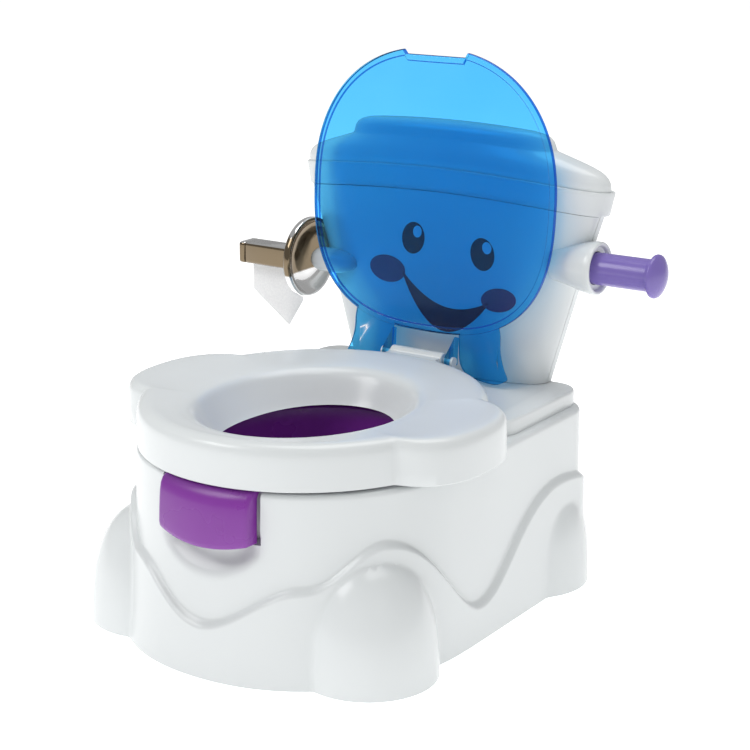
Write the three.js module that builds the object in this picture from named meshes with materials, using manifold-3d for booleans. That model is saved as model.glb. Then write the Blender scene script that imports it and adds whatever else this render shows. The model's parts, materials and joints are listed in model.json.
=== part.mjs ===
// Potty training chair: white base with a lift-out bowl, seat ring, translucent lid, toy cistern
// with a push plunger, and a paper holder. Millimetres, +Z up, front towards -Y.
// The origin is the middle of the footprint on the floor.
import * as THREE from 'three';
import { mergeVertices } from 'three/addons/utils/BufferGeometryUtils.js';
import Module from 'manifold-3d';

const wasm = await Module();
wasm.setup();

// ---------- driving dimensions ----------
const GAP = 0.3;
const HALF_LENGTH = 174;
const DECK_Z = 138;
const DECK_HALF_WIDTH = 127;
const WALL = 3;
const PAD_HEIGHT = 3;
const PAD_RADIUS = 20;
const SKIRT_CLEAR = 1.2;

const FRONT_CENTRE_Y = -30;
const FRONT_REACH_TOP = 127;
const REAR_CORNER = 28;
const FOOT_X = 95;
const FOOT_RADIUS = 50;
const FRONT_FOOT_Y = -99;
const REAR_FOOT_Y = 122;
const FRONT_FOOT_HEIGHT = 90;
const REAR_FOOT_HEIGHT = 72;
const FOOT_POWER = 2.4;
const FLOOR_THICKNESS = 3;
const ARCH_STAND_OUT = 4.5;
const ARCH_ROUND = 2;
const FRONT_REACH_FLOOR = HALF_LENGTH - ARCH_STAND_OUT + FRONT_CENTRE_Y;
const FRONT_POWER = 2.15;
const SIDE_FLARE = 2;
const FLARE_POWER = 1.6;
const BASE_COUNT = 48;
// height of the wavy moulding at angles round the base: 0 is the front, 180 the rear
const ARCH_POINTS = [[0, 40], [27, 72], [47, 101], [87, 30], [131, 91], [165, 52], [180, 48]];

const HOLE_CENTRE_Y = -39;
const HOLE_HALF_WIDTH = 73;
const HOLE_HALF_LENGTH = 87;
const BOWL_HALF_WIDTH = 75;
const BOWL_HALF_LENGTH = 89;
const BOWL_FLOOR_Z = 40;
const BOWL_WALL = 2.5;
const BOWL_FLANGE = 9;

const NOTCH_HALF_WIDTH = 42;
const NOTCH_FLOOR_Z = 95;
const NOTCH_REAR_Y = -131;
const SCOOP_Y = -177;
const SCOOP_HALF = [46, 13, 22];
const GRIP_HALF_WIDTH = 39;

const RING_CENTRE_Y = -30;
const RING_HALF_WIDTH = 126;
const RING_HALF_LENGTH = 133;
const RING_Z = 141.2;
const RING_TOP_Z = 172.5;
const RING_CLEAR = 1.2;
const EAR_X = 101;
const EAR_Y = -32;
const EAR_HALF_WIDTH = 49;
const EAR_HALF_LENGTH = 62;

const PLINTH_HALF_WIDTH = 119;
const PLINTH_FRONT_Y = 41;
const PLINTH_REAR_Y = 166;
const PLINTH_TOP_Z = 150;
const PLINTH_CORNER = 20;

const HINGE_Y = 112;
const HINGE_Z = 168;
const PIN_RADIUS = 2.2;
const KNUCKLE_RADIUS = 6;
const KNUCKLE_HALF_WIDTH = 24;
const CHEEK_X = 27;
const CHEEK_THICKNESS = 4;
const OUTER_CHEEK_X = 62;
const LID_LEAN = THREE.MathUtils.degToRad(3);
const LID_OFFSET = 9;
const LID_THICKNESS = 3;
const LID_RIM = 2;
const LID_HALF_WIDTH = 110.5;
const LID_CENTRE_UP = 129;
const LID_TOP_UP = 241;
const LID_BOTTOM_UP = 19;
const LID_POWER_BELOW = 2.7;
const LID_POWER_ABOVE = 2.25;
const LID_NOTCH_HALF_WIDTH = 27;

const TANK_FRONT_Y = 136;
const TANK_REAR_Y = 167;
const TANK_SPLIT_Y = 157;
const TANK_FOOT_Z = PLINTH_TOP_Z + GAP;
const TANK_TOP_Z = 296;
const TANK_HALF_WIDTH_FOOT = 92;
const TANK_HALF_WIDTH_TOP = 134;
const TANK_WALL = 3;
const TANK_POWER = 2.7;
const TANK_CORNER = 4;
const TANK_BULGE = 2;
const COVER_HALF_WIDTH = 141;
const COVER_DROP = 10;
const COVER_SEAM = 1.5;

const SCREW_RADIUS = 1.6;
const POST_RADIUS = 4.5;
const SCREW_PLACES = [[-78, 176], [78, 176], [-96, 272], [96, 284]];
const FOOT_SCREW_X = [-52, 52];
const FOOT_SCREW_Y = 151;
const DOOR_HALF_WIDTH = 31;
const DOOR_Z0 = 166;
const DOOR_Z1 = 208;
const SPEAKER_X = -34;
const SPEAKER_Z = 246;
const SPEAKER_RADIUS = 18;

const FLUSH_Y = 151;
const FLUSH_Z = 249;
const REACH_X = 192;
const COLLAR_END_X = 138;
const COLLAR_RADIUS = 17;
const COLLAR_STEP_X = 124;
const COLLAR_STEP_RADIUS = 19.5;
const STEM_RADIUS = 4;
const BRIDGE_X = 84;
const BRIDGE_THICKNESS = 3;
const SHOULDER_X = 104;

const HOLDER_Y = 140.5;
const HOLDER_Z = 228;
const DISC_RADIUS = 33.5;
const DISC_X = -124;
const HUB_RADIUS = 10;
const BAR_HALF_DEPTH = 10.5;
const BAR_HALF_HEIGHT = 9;
const BAR_Z = 226;

// ---------- materials ----------
function plastic(colour, roughness = 0.25) {
  return new THREE.MeshStandardMaterial({ color: colour, roughness, metalness: 0 });
}

function metal(colour, roughness = 0.25) {
  return new THREE.MeshStandardMaterial({ color: colour, roughness, metalness: 1 });
}

const white = () => plastic(0xf4f5f7);
const purple = () => plastic(0x8a44a6, 0.3);
const lavender = () => plastic(0x8068bd, 0.3);
const steel = () => metal(0xb9bcc0, 0.35);
const chrome = () => metal(0xd8d8d6, 0.08);
const greyPlastic = () => plastic(0x9a9da3, 0.5);

const lidBlue = () => new THREE.MeshStandardMaterial({
  color: 0x0a8be0,
  roughness: 0.1,
  metalness: 0,
  transparent: true,
  opacity: 0.5,
});

// ---------- solid helpers ----------
function vertexVolume(positions, index) {
  const [a, b, c] = [new THREE.Vector3(), new THREE.Vector3(), new THREE.Vector3()];
  let total = 0;
  for (let i = 0; i < index.length; i += 3) {
    a.fromArray(positions, 3 * index[i]);
    b.fromArray(positions, 3 * index[i + 1]);
    c.fromArray(positions, 3 * index[i + 2]);
    total += a.dot(b.cross(c)) / 6;
  }
  return total;
}

function closedGeometry(positions, index) {
  if (vertexVolume(positions, index) < 0) index.reverse();
  const geometry = new THREE.BufferGeometry();
  geometry.setAttribute('position', new THREE.Float32BufferAttribute(positions, 3));
  geometry.setIndex(index);
  return geometry;
}

// rows of points, each row a closed loop; the ends are capped, or joined when loops is true
function loft(rows, loops = false) {
  const count = rows[0].length;
  const positions = rows.flat().flatMap((p) => [p.x, p.y, p.z]);
  const index = [];
  const last = loops ? rows.length : rows.length - 1;
  for (let r = 0; r < last; r += 1) {
    const below = r * count;
    const above = ((r + 1) % rows.length) * count;
    for (let i = 0; i < count; i += 1) {
      const j = (i + 1) % count;
      index.push(below + i, below + j, above + j, below + i, above + j, above + i);
    }
  }
  if (!loops) {
    for (const [row, start] of [[rows[0], 0], [rows.at(-1), (rows.length - 1) * count]]) {
      const centre = row.reduce((sum, p) => sum.add(p), new THREE.Vector3()).divideScalar(count);
      const hub = positions.length / 3;
      positions.push(centre.x, centre.y, centre.z);
      for (let i = 0; i < count; i += 1) {
        const j = (i + 1) % count;
        if (start === 0) index.push(hub, start + j, start + i);
        else index.push(hub, start + i, start + j);
      }
    }
  }
  return closedGeometry(positions, index);
}

function solid(geometry) {
  let bare = geometry.clone();
  bare.deleteAttribute('normal');
  bare.deleteAttribute('uv');
  bare = mergeVertices(bare, 1e-4);
  return new wasm.Manifold(new wasm.Mesh({
    numProp: 3,
    vertProperties: new Float32Array(bare.attributes.position.array),
    triVerts: new Uint32Array(bare.index.array),
  }));
}

function shape(manifold) {
  const mesh = manifold.getMesh();
  const geometry = new THREE.BufferGeometry();
  geometry.setAttribute('position', new THREE.Float32BufferAttribute(mesh.vertProperties, 3));
  geometry.setIndex(Array.from(mesh.triVerts));
  return geometry;
}

const cut = (body, ...tools) => shape(tools.reduce((s, t) => s.subtract(solid(t)), solid(body)));
const join = (body, ...others) => shape(others.reduce((s, t) => s.add(solid(t)), solid(body)));
const keep = (body, tool) => shape(solid(body).intersect(solid(tool)));

function box(x0, x1, y0, y1, z0, z1) {
  const geometry = new THREE.BoxGeometry(x1 - x0, y1 - y0, z1 - z0);
  return geometry.translate((x0 + x1) / 2, (y0 + y1) / 2, (z0 + z1) / 2);
}

// a box whose edges along X, Y or Z are rounded
function roundedBox(width, depth, height, radius, axis = 'z') {
  const sizes = { x: [depth, height, width], y: [width, height, depth], z: [width, depth, height] }[axis];
  const [a, b, length] = sizes;
  const outline = new THREE.Shape();
  outline.absarc(a / 2 - radius, b / 2 - radius, radius, 0, Math.PI / 2);
  outline.absarc(-a / 2 + radius, b / 2 - radius, radius, Math.PI / 2, Math.PI);
  outline.absarc(-a / 2 + radius, -b / 2 + radius, radius, Math.PI, 1.5 * Math.PI);
  outline.absarc(a / 2 - radius, -b / 2 + radius, radius, 1.5 * Math.PI, 2 * Math.PI);
  const geometry = new THREE.ExtrudeGeometry(outline, {
    depth: length,
    bevelEnabled: false,
    curveSegments: 5,
  });
  geometry.translate(0, 0, -length / 2);
  if (axis === 'x') geometry.rotateX(Math.PI / 2).rotateZ(Math.PI / 2);
  if (axis === 'y') geometry.rotateX(Math.PI / 2);
  return geometry;
}

// a turned piece: [radius, height] pairs from axis to axis, standing along X, Y or Z
function turned(profile, axis = 'z', segments = 28) {
  const points = profile.map(([r, h]) => new THREE.Vector2(r, h));
  const geometry = new THREE.LatheGeometry(points, segments);
  if (axis === 'x') geometry.rotateZ(-Math.PI / 2);
  if (axis === 'z') geometry.rotateX(Math.PI / 2);
  const bare = mergeVertices(stripped(geometry), 1e-4);
  return closedGeometry(Array.from(bare.attributes.position.array), wholeTriangles(bare));
}

function stripped(geometry) {
  geometry.deleteAttribute('normal');
  geometry.deleteAttribute('uv');
  return geometry;
}

function wholeTriangles(geometry) {
  const source = geometry.index.array;
  const index = [];
  for (let i = 0; i < source.length; i += 3) {
    const [a, b, c] = [source[i], source[i + 1], source[i + 2]];
    if (a !== b && b !== c && c !== a) index.push(a, b, c);
  }
  return index;
}

function rod(radius, length, axis = 'z', segments = 16) {
  const half = length / 2;
  return turned([[0, -half], [radius, -half], [radius, half], [0, half]], axis, segments);
}

// distance from a centre to the edge of an implicit shape, in the direction of an angle
function reach(inside, angle, centreX, centreY, limit = 260) {
  let near = 0;
  let far = limit;
  for (let i = 0; i < 26; i += 1) {
    const t = (near + far) / 2;
    if (inside(centreX + t * Math.sin(angle), centreY - t * Math.cos(angle)) < 0) near = t;
    else far = t;
  }
  return near;
}

// a loop of points round an implicit outline; angle 0 points to the front
function loopOf(inside, z, count, inset = 0, centreY = 0) {
  return Array.from({ length: count }, (_, i) => {
    const angle = (2 * Math.PI * i) / count;
    const t = reach(inside, angle, 0, centreY) - inset;
    return new THREE.Vector3(t * Math.sin(angle), centreY - t * Math.cos(angle), z);
  });
}

const ellipse = (halfWidth, halfLength, centreY, centreX = 0) => (x, y) => (
  Math.hypot((x - centreX) / halfWidth, (y - centreY) / halfLength) - 1
);

// ---------- base ----------
const ease = (t) => 0.5 - 0.5 * Math.cos(Math.PI * THREE.MathUtils.clamp(t, 0, 1));

function archHeight(turn) {
  const angle = THREE.MathUtils.radToDeg(Math.abs(turn > Math.PI ? turn - 2 * Math.PI : turn));
  const next = Math.max(1, ARCH_POINTS.findIndex(([a]) => a >= angle));
  const [[a0, z0], [a1, z1]] = [ARCH_POINTS[next - 1], ARCH_POINTS[next]];
  return z0 + (z1 - z0) * ease((angle - a0) / (a1 - a0));
}

function bodyDistance(x, y, z) {
  const flare = (1 - THREE.MathUtils.clamp(z / DECK_Z, 0, 1)) ** FLARE_POWER;
  const halfWidth = DECK_HALF_WIDTH + SIDE_FLARE * flare;
  const frontReach = FRONT_REACH_TOP + (FRONT_REACH_FLOOR - FRONT_REACH_TOP) * flare;
  const side = Math.abs(x);
  if (y < FRONT_CENTRE_Y) {
    const power = FRONT_POWER;
    const across = (side / halfWidth) ** power + ((FRONT_CENTRE_Y - y) / frontReach) ** power;
    return (across ** (1 / power) - 1) * frontReach;
  }
  const rearY = HALF_LENGTH - ARCH_STAND_OUT - SIDE_FLARE * (1 - flare);
  const dx = side - halfWidth + REAR_CORNER;
  const dy = y - rearY + REAR_CORNER;
  return Math.hypot(Math.max(dx, 0), Math.max(dy, 0)) + Math.min(Math.max(dx, dy), 0) - REAR_CORNER;
}

// the body's outline, grown outwards; heightAt gives the height at each angle from the front
function bodyLoop(grow, heightAt, count) {
  return Array.from({ length: count }, (_, i) => {
    const angle = (2 * Math.PI * i) / count;
    const z = heightAt(angle);
    const t = reach((x, y) => bodyDistance(x, y, z) - grow, angle, 0, 0);
    return new THREE.Vector3(t * Math.sin(angle), -t * Math.cos(angle), z);
  });
}

const bodyLoft = (levels, count) => loft(levels.map(([z, grow]) => bodyLoop(grow, () => z, count)));

// the wavy skirt that stands out of the body and rises over each foot
function skirt(grow, foot, lowered, count) {
  const along = (drop) => (angle) => archHeight(angle) - drop;
  return loft([
    bodyLoop(grow, () => foot, count),
    bodyLoop(grow, along(lowered + ARCH_ROUND), count),
    bodyLoop(grow - ARCH_ROUND / 2, along(lowered), count),
    bodyLoop(-WALL / 2, along(lowered - ARCH_ROUND), count),
  ]);
}

// a domed foot, thinner by inset all over
function footDome(side, centreY, height, inset, foot, segments) {
  const steps = 6;
  const profile = [[0, foot]];
  for (let i = 0; i <= steps; i += 1) {
    const z = (height - inset) * Math.sin((Math.PI / 2) * (i / steps));
    const shrink = Math.max(0, 1 - (z / (height - inset)) ** FOOT_POWER) ** (1 / FOOT_POWER);
    profile.push([(FOOT_RADIUS - inset) * shrink, Math.max(z, foot)]);
  }
  return turned(profile, 'z', segments).translate(side * FOOT_X, centreY, 0);
}

function feet(inset, foot, segments) {
  return [1, -1].flatMap((side) => [
    footDome(side, FRONT_FOOT_Y, FRONT_FOOT_HEIGHT, inset, foot, segments),
    footDome(side, REAR_FOOT_Y, REAR_FOOT_HEIGHT, inset, foot, segments),
  ]);
}

function baseOutside() {
  const levels = [0, 25, 50, 75, 105].map((z) => [Math.max(z, SKIRT_CLEAR), 0]);
  levels.push([DECK_Z - 4, 0], [DECK_Z - 1, -1.2], [DECK_Z, -4]);
  const plinthBottom = DECK_Z - 18;
  const plinth = roundedBox(
    2 * PLINTH_HALF_WIDTH,
    PLINTH_REAR_Y - PLINTH_FRONT_Y,
    PLINTH_TOP_Z - plinthBottom,
    PLINTH_CORNER,
  ).translate(0, (PLINTH_REAR_Y + PLINTH_FRONT_Y) / 2, (PLINTH_TOP_Z + plinthBottom) / 2);
  const body = bodyLoft(levels, BASE_COUNT);
  const moulding = skirt(ARCH_STAND_OUT, SKIRT_CLEAR, 0, BASE_COUNT);
  return join(body, moulding, ...feet(0, SKIRT_CLEAR, 20), plinth);
}

function baseHollow() {
  const below = -1;
  const levels = [below, 35, 80, 110, DECK_Z - WALL].map((z) => [z, -WALL]);
  const body = bodyLoft(levels, BASE_COUNT);
  const moulding = skirt(ARCH_STAND_OUT - WALL, below, WALL, BASE_COUNT);
  return join(body, moulding, ...feet(WALL, below, 14));
}

// floors inside the feet, which hold the grip pads
function footFloors() {
  const z = PAD_HEIGHT + GAP + FLOOR_THICKNESS / 2;
  return [1, -1].flatMap((side) => [FRONT_FOOT_Y, REAR_FOOT_Y].map((y) => (
    rod(FOOT_RADIUS - WALL / 2, FLOOR_THICKNESS, 'z', 20).translate(side * FOOT_X, y, z)
  )));
}

// the notch that the bowl's grip hangs in, and the finger scoop below it
function gripRecess() {
  const [half, front] = [NOTCH_HALF_WIDTH, -HALF_LENGTH - 5];
  const notch = box(-half, half, front, NOTCH_REAR_Y, NOTCH_FLOOR_Z, DECK_Z + 1);
  const scoop = new THREE.SphereGeometry(1, 16, 8).scale(...SCOOP_HALF);
  return [notch, scoop.translate(0, SCOOP_Y, NOTCH_FLOOR_Z)];
}

function baseShell() {
  const ringClearance = loft([DECK_Z, PLINTH_TOP_Z + 1].map((z) => (
    loopOf(ringOutline, z, 40, -RING_CLEAR, RING_CENTRE_Y)
  )));
  const opening = loft([DECK_Z - 20, DECK_Z + 1].map((z) => (
    loopOf(ellipse(BOWL_HALF_WIDTH + 1, BOWL_HALF_LENGTH + 1, HOLE_CENTRE_Y), z, 36, 0, HOLE_CENTRE_Y)
  )));
  const plinthHollow = box(-108, 108, 110, PLINTH_REAR_Y - 6, DECK_Z - 10, PLINTH_TOP_Z - WALL);
  const bores = FOOT_SCREW_X.map((x) => (
    rod(SCREW_RADIUS + GAP, 40, 'z', 12).translate(x, FOOT_SCREW_Y, DECK_Z)
  ));
  const shell = cut(baseOutside(), baseHollow());
  const floored = join(shell, ...footFloors());
  return cut(floored, ringClearance, plinthHollow, opening, ...gripRecess(), ...bores);
}

function ringOutline(x, y) {
  const ring = ellipse(RING_HALF_WIDTH, RING_HALF_LENGTH, RING_CENTRE_Y)(x, y) * RING_HALF_WIDTH;
  const ear = ellipse(EAR_HALF_WIDTH, EAR_HALF_LENGTH, EAR_Y, EAR_X)(Math.abs(x), y) * EAR_HALF_WIDTH;
  return Math.min(ring, ear);
}

function footPad(side, y) {
  return rod(PAD_RADIUS, PAD_HEIGHT, 'z', 20).translate(side * FOOT_X, y, PAD_HEIGHT / 2);
}

// ---------- bowl ----------
function bowl() {
  const loop = (inset, z) => loopOf(
    ellipse(BOWL_HALF_WIDTH - inset, BOWL_HALF_LENGTH - inset, HOLE_CENTRE_Y), z, 36, 0, HOLE_CENTRE_Y,
  );
  const flangeZ = DECK_Z + GAP;
  const wallLevels = [[18, BOWL_FLOOR_Z + 5], [7, 62], [3, 90], [0, flangeZ]];
  const flange = [[-BOWL_FLANGE, flangeZ], [-BOWL_FLANGE, flangeZ + 2]];
  const outside = [[26, BOWL_FLOOR_Z], ...wallLevels, ...flange];
  const inside = [...wallLevels].reverse().map(([inset, z]) => [inset + BOWL_WALL, z + BOWL_WALL / 2]);
  inside.unshift([BOWL_WALL - 1, flangeZ + 2]);
  inside.push([28, BOWL_FLOOR_Z + BOWL_WALL]);
  return join(loft([...outside, ...inside].map(([inset, z]) => loop(inset, z))), grip());
}

// the front grip: a bridge from the flange, rolled over and hanging down in the notch
function grip() {
  const rearY = NOTCH_REAR_Y;
  const profile = [
    [rearY, 138.4], [-149, 138.4], [-154.5, 135.5], [-157.5, 129], [-161, 116], [-164.5, 103], [-164.5, 98],
    [-168.5, 97.5], [-169, 103], [-165, 118], [-161.5, 131], [-157, 138], [-150, 140.3], [rearY, 140.3],
  ];
  const [slices, crown, lift, rollLength] = [8, 7, 3.5, 20];
  const hangHeight = 40;
  const rows = Array.from({ length: slices + 1 }, (_, i) => {
    const across = 2 * i / slices - 1;
    return profile.map(([y, z]) => {
      const hang = THREE.MathUtils.clamp((DECK_Z - z) / hangHeight, 0, 1);
      const back = crown * across ** 2 * ease((rearY - y) / rollLength);
      return new THREE.Vector3(GRIP_HALF_WIDTH * across, y + back, z + lift * hang * across ** 2);
    });
  });
  return loft(rows);
}

// ---------- seat ring ----------
function seatRing() {
  const centreY = -36;
  const inner = ellipse(HOLE_HALF_WIDTH, HOLE_HALF_LENGTH, HOLE_CENTRE_Y);
  // share of the way from the hole to the rim, then an extra distance outwards, and the height
  const profile = [
    [1, 0, RING_Z], [1, 0, 161], [1, -1.5, 167.5], [1, -5, 171.2], [1, -11, RING_TOP_Z], [0.5, 0, 170.6],
    [0, 9, 169.2], [0, 1.5, 165], [0, -5, 152], [0, -10, 143.5],
    [0, -7, 143.5], [0, -1.5, 153], [0, 6, 164], [1, -10, 167.5], [1, -4.5, 162], [1, -3.5, RING_Z],
  ];
  const count = 48;
  const rows = profile.map(([share, extra, z]) => Array.from({ length: count }, (_, i) => {
    const angle = (2 * Math.PI * i) / count;
    const near = reach(inner, angle, 0, centreY);
    const far = reach(ringOutline, angle, 0, centreY);
    const t = near + (far - near) * share + extra;
    return new THREE.Vector3(t * Math.sin(angle), centreY - t * Math.cos(angle), z);
  }));
  const webHalf = KNUCKLE_HALF_WIDTH - 1;
  const web = box(-webHalf, webHalf, 96, HINGE_Y, HINGE_Z - KNUCKLE_RADIUS + 1, HINGE_Z + 3);
  const knuckle = rod(KNUCKLE_RADIUS, 2 * KNUCKLE_HALF_WIDTH, 'x', 20).translate(0, HINGE_Y, HINGE_Z);
  const bore = rod(PIN_RADIUS + GAP, 4 * KNUCKLE_HALF_WIDTH, 'x').translate(0, HINGE_Y, HINGE_Z);
  return cut(join(loft(rows, true), web, knuckle), bore);
}

// ---------- lid ----------
// the lid is drawn upright in its own frame: x across, z up from the hinge, then leaned back
function leaned(geometry) {
  return geometry.rotateX(-LID_LEAN).translate(0, HINGE_Y, HINGE_Z);
}

function lidOutline(x, z) {
  const below = z < LID_CENTRE_UP;
  const halfHeight = below ? LID_CENTRE_UP - LID_BOTTOM_UP : LID_TOP_UP - LID_CENTRE_UP;
  const power = below ? LID_POWER_BELOW : LID_POWER_ABOVE;
  const across = (Math.abs(x) / LID_HALF_WIDTH) ** power;
  const along = (Math.abs(z - LID_CENTRE_UP) / halfHeight) ** power;
  return (across + along) ** (1 / power) - 1;
}

function lidLoop(y, inset) {
  const count = 44;
  return Array.from({ length: count }, (_, i) => {
    const angle = (2 * Math.PI * i) / count;
    const t = reach((x, v) => lidOutline(x, -v), angle, 0, -LID_CENTRE_UP) - inset;
    return new THREE.Vector3(t * Math.sin(angle), y, LID_CENTRE_UP + t * Math.cos(angle));
  });
}

function legPlate(side) {
  const outline = new THREE.Shape();
  outline.moveTo(side * 30, 42);
  outline.lineTo(side * 31, 4);
  outline.quadraticCurveTo(side * 38, -12, side * 54, -14.5);
  outline.quadraticCurveTo(side * 68, -15, side * 75, -10);
  outline.quadraticCurveTo(side * 69, 2, side * 68, 24);
  outline.lineTo(side * 60, 46);
  const plate = new THREE.ExtrudeGeometry(outline, {
    depth: LID_THICKNESS,
    bevelEnabled: false,
    curveSegments: 5,
  });
  return plate.rotateX(Math.PI / 2).translate(0, LID_OFFSET + LID_THICKNESS, 0);
}

// a flange in the YZ plane that runs from the hinge line back to the plate
function legCheek(x) {
  const inPlate = LID_OFFSET + 0.5;
  const outline = new THREE.Shape();
  outline.absarc(0, 0, KNUCKLE_RADIUS, Math.PI, 1.75 * Math.PI);
  outline.lineTo(inPlate, -4);
  outline.lineTo(inPlate, 24);
  outline.lineTo(-KNUCKLE_RADIUS + 0.4, 2);
  const wall = new THREE.ExtrudeGeometry(outline, {
    depth: CHEEK_THICKNESS,
    bevelEnabled: false,
    curveSegments: 5,
  });
  return wall.rotateX(Math.PI / 2).rotateZ(Math.PI / 2).translate(x, 0, 0);
}

function lid() {
  const back = LID_OFFSET + LID_THICKNESS;
  const rimFace = LID_OFFSET - LID_RIM;
  const panel = loft([lidLoop(rimFace, 1.5), lidLoop(LID_OFFSET - 1, 0), lidLoop(back, 0)]);
  const recess = loft([lidLoop(rimFace - 1, 5), lidLoop(LID_OFFSET, 6)]);
  const half = LID_NOTCH_HALF_WIDTH;
  const fingerNotch = box(-half, half, 0, back + 1, LID_TOP_UP - 5, LID_TOP_UP + 5);
  const cheeks = [CHEEK_X, OUTER_CHEEK_X].flatMap((x) => [legCheek(x), legCheek(-x - CHEEK_THICKNESS)]);
  const plate = join(cut(panel, recess), legPlate(1), legPlate(-1), ...cheeks);
  const bores = rod(PIN_RADIUS + GAP, 2 * CHEEK_X + 20, 'x');
  return leaned(cut(plate, fingerNotch, bores));
}

function hingePin(side) {
  const end = CHEEK_X + CHEEK_THICKNESS + GAP;
  const [inner, headRadius, headEnd] = [8, 4, end + 2];
  const stem = [[0, inner], [PIN_RADIUS, inner], [PIN_RADIUS, end]];
  const head = [[headRadius, end], [headRadius, headEnd], [0, headEnd]];
  const pin = turned([...stem, ...head], 'x', 16);
  if (side < 0) pin.rotateZ(Math.PI);
  return pin.translate(0, HINGE_Y, HINGE_Z);
}

// ---------- cistern ----------
// a D-shaped outline: flat at the rear, bowed at the front
function tankOutline(halfWidth, frontY, rearY) {
  const bowRear = rearY - TANK_CORNER;
  const depth = bowRear - frontY;
  return (x, y) => {
    if (y > bowRear) {
      const beyond = Math.max(Math.abs(x) - halfWidth + TANK_CORNER, 0);
      return Math.hypot(beyond, y - bowRear) - TANK_CORNER;
    }
    const across = (Math.abs(x) / halfWidth) ** TANK_POWER;
    const along = ((bowRear - y) / depth) ** TANK_POWER;
    return ((across + along) ** (1 / TANK_POWER) - 1) * depth;
  };
}

const archDrop = (x) => COVER_DROP * (x / COVER_HALF_WIDTH) ** 2;

// points are spread evenly round an ellipse of the same proportions, so the corners stay sharp
function tankLoop(halfWidth, frontY, rearY, z, drop) {
  const inside = tankOutline(halfWidth, frontY, rearY);
  const count = 40;
  const centreY = (frontY + rearY) / 2;
  return Array.from({ length: count }, (_, i) => {
    const turn = (2 * Math.PI * i) / count;
    const angle = Math.atan2(halfWidth * Math.sin(turn), (rearY - centreY) * Math.cos(turn));
    const t = reach(inside, angle, 0, centreY);
    const x = t * Math.sin(angle);
    return new THREE.Vector3(x, centreY - t * Math.cos(angle), z - (drop ? archDrop(x) : 0));
  });
}

function tankSolid(inset, z0, z1) {
  const rows = [0, 0.5, 1].map((t) => {
    const straight = THREE.MathUtils.lerp(TANK_HALF_WIDTH_FOOT, TANK_HALF_WIDTH_TOP, t);
    const halfWidth = straight - inset + TANK_BULGE * t * (1 - t);
    const z = THREE.MathUtils.lerp(z0, z1, t);
    return tankLoop(halfWidth, TANK_FRONT_Y + inset, TANK_REAR_Y - inset, z, t === 1);
  });
  return loft(rows);
}

const post = (x, z, radius) => rod(radius, 40, 'y', 12).translate(x, TANK_SPLIT_Y - 20, z);

function tankWalls() {
  const outer = tankSolid(0, TANK_FOOT_Z, TANK_TOP_Z);
  const inner = tankSolid(TANK_WALL, TANK_FOOT_Z + TANK_WALL, TANK_TOP_Z + 1);
  const seatLength = 30;
  const seatX = COLLAR_STEP_X - GAP + seatLength / 2;
  const flushHole = rod(COLLAR_RADIUS + GAP, 72, 'x', 24).translate(120, FLUSH_Y, FLUSH_Z);
  const flushSeat = rod(COLLAR_STEP_RADIUS + GAP, seatLength, 'x', 24)
    .translate(seatX, FLUSH_Y, FLUSH_Z);
  const holderHole = rod(HUB_RADIUS + GAP, 80, 'x', 24).translate(-110, HOLDER_Y, HOLDER_Z);
  return cut(outer, inner, flushHole, flushSeat, holderHole);
}

const screwBore = (length, axis) => rod(SCREW_RADIUS + GAP, length, axis, 12);

function frontShell() {
  const half = box(-200, 200, 100, TANK_SPLIT_Y, 100, 350);
  const within = tankSolid(1, TANK_FOOT_Z, TANK_TOP_Z);
  const posts = SCREW_PLACES.map(([x, z]) => keep(post(x, z, POST_RADIUS), within));
  const bores = SCREW_PLACES.map(([x, z]) => screwBore(24, 'y').translate(x, TANK_SPLIT_Y - 4, z));
  const footPosts = FOOT_SCREW_X.map((x) => (
    rod(POST_RADIUS, 16, 'z', 12).translate(x, FOOT_SCREW_Y, TANK_FOOT_Z + 8)
  ));
  const footBores = FOOT_SCREW_X.map((x) => screwBore(28, 'z').translate(x, FOOT_SCREW_Y, TANK_FOOT_Z));
  return cut(join(keep(tankWalls(), half), ...posts, ...footPosts), ...bores, ...footBores);
}

function rearShell() {
  const rearHalf = box(-200, 200, TANK_SPLIT_Y + GAP, 200, 100, 350);
  const bores = SCREW_PLACES.map(([x, z]) => screwBore(30, 'y').translate(x, TANK_REAR_Y, z));
  const doorway = box(
    -DOOR_HALF_WIDTH - GAP,
    DOOR_HALF_WIDTH + GAP,
    TANK_REAR_Y - 6,
    TANK_REAR_Y + 1,
    DOOR_Z0 - GAP,
    DOOR_Z1 + GAP,
  );
  const [grilleRadius, slotHalf] = [SPEAKER_RADIUS - 3, 1.2];
  const slots = [-12, -6, 0, 6, 12].map((up) => {
    const half = Math.sqrt(grilleRadius ** 2 - up ** 2);
    const z = SPEAKER_Z + up;
    return box(SPEAKER_X - half, SPEAKER_X + half, 160, 175, z - slotHalf, z + slotHalf);
  });
  return cut(keep(tankWalls(), rearHalf), ...bores, doorway, ...slots);
}

function tankCover() {
  // height above the seam, half-width, front and rear
  const levels = [
    [0, 137, 134.5, 168.5], [16, COVER_HALF_WIDTH, 133, 170], [18, 138, 135, 168.5], [24, 136.5, 136, 168],
    [31, 129, 137, 167], [36, 115, 138.5, 166.5], [40, 88, 140, 166], [47, 85, 141, 165],
    [51, 80, 143.5, 163], [53, 68, 147, 159],
  ];
  const base = TANK_TOP_Z + COVER_SEAM;
  const outer = levels.map(([up, w, front, rear]) => tankLoop(w, front, rear, base + up, true));
  const hollow = [[-2, 134, 138, 166], [16, 135, 138, 166], [33, 112, 142, 163], [36, 84, 144, 161]]
    .map(([up, w, front, rear]) => tankLoop(w, front, rear, base + up, true));
  return cut(loft(outer), loft(hollow));
}

// ---------- flush plunger ----------
const onFlushAxis = (geometry) => geometry.translate(0, FLUSH_Y, FLUSH_Z);

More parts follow.
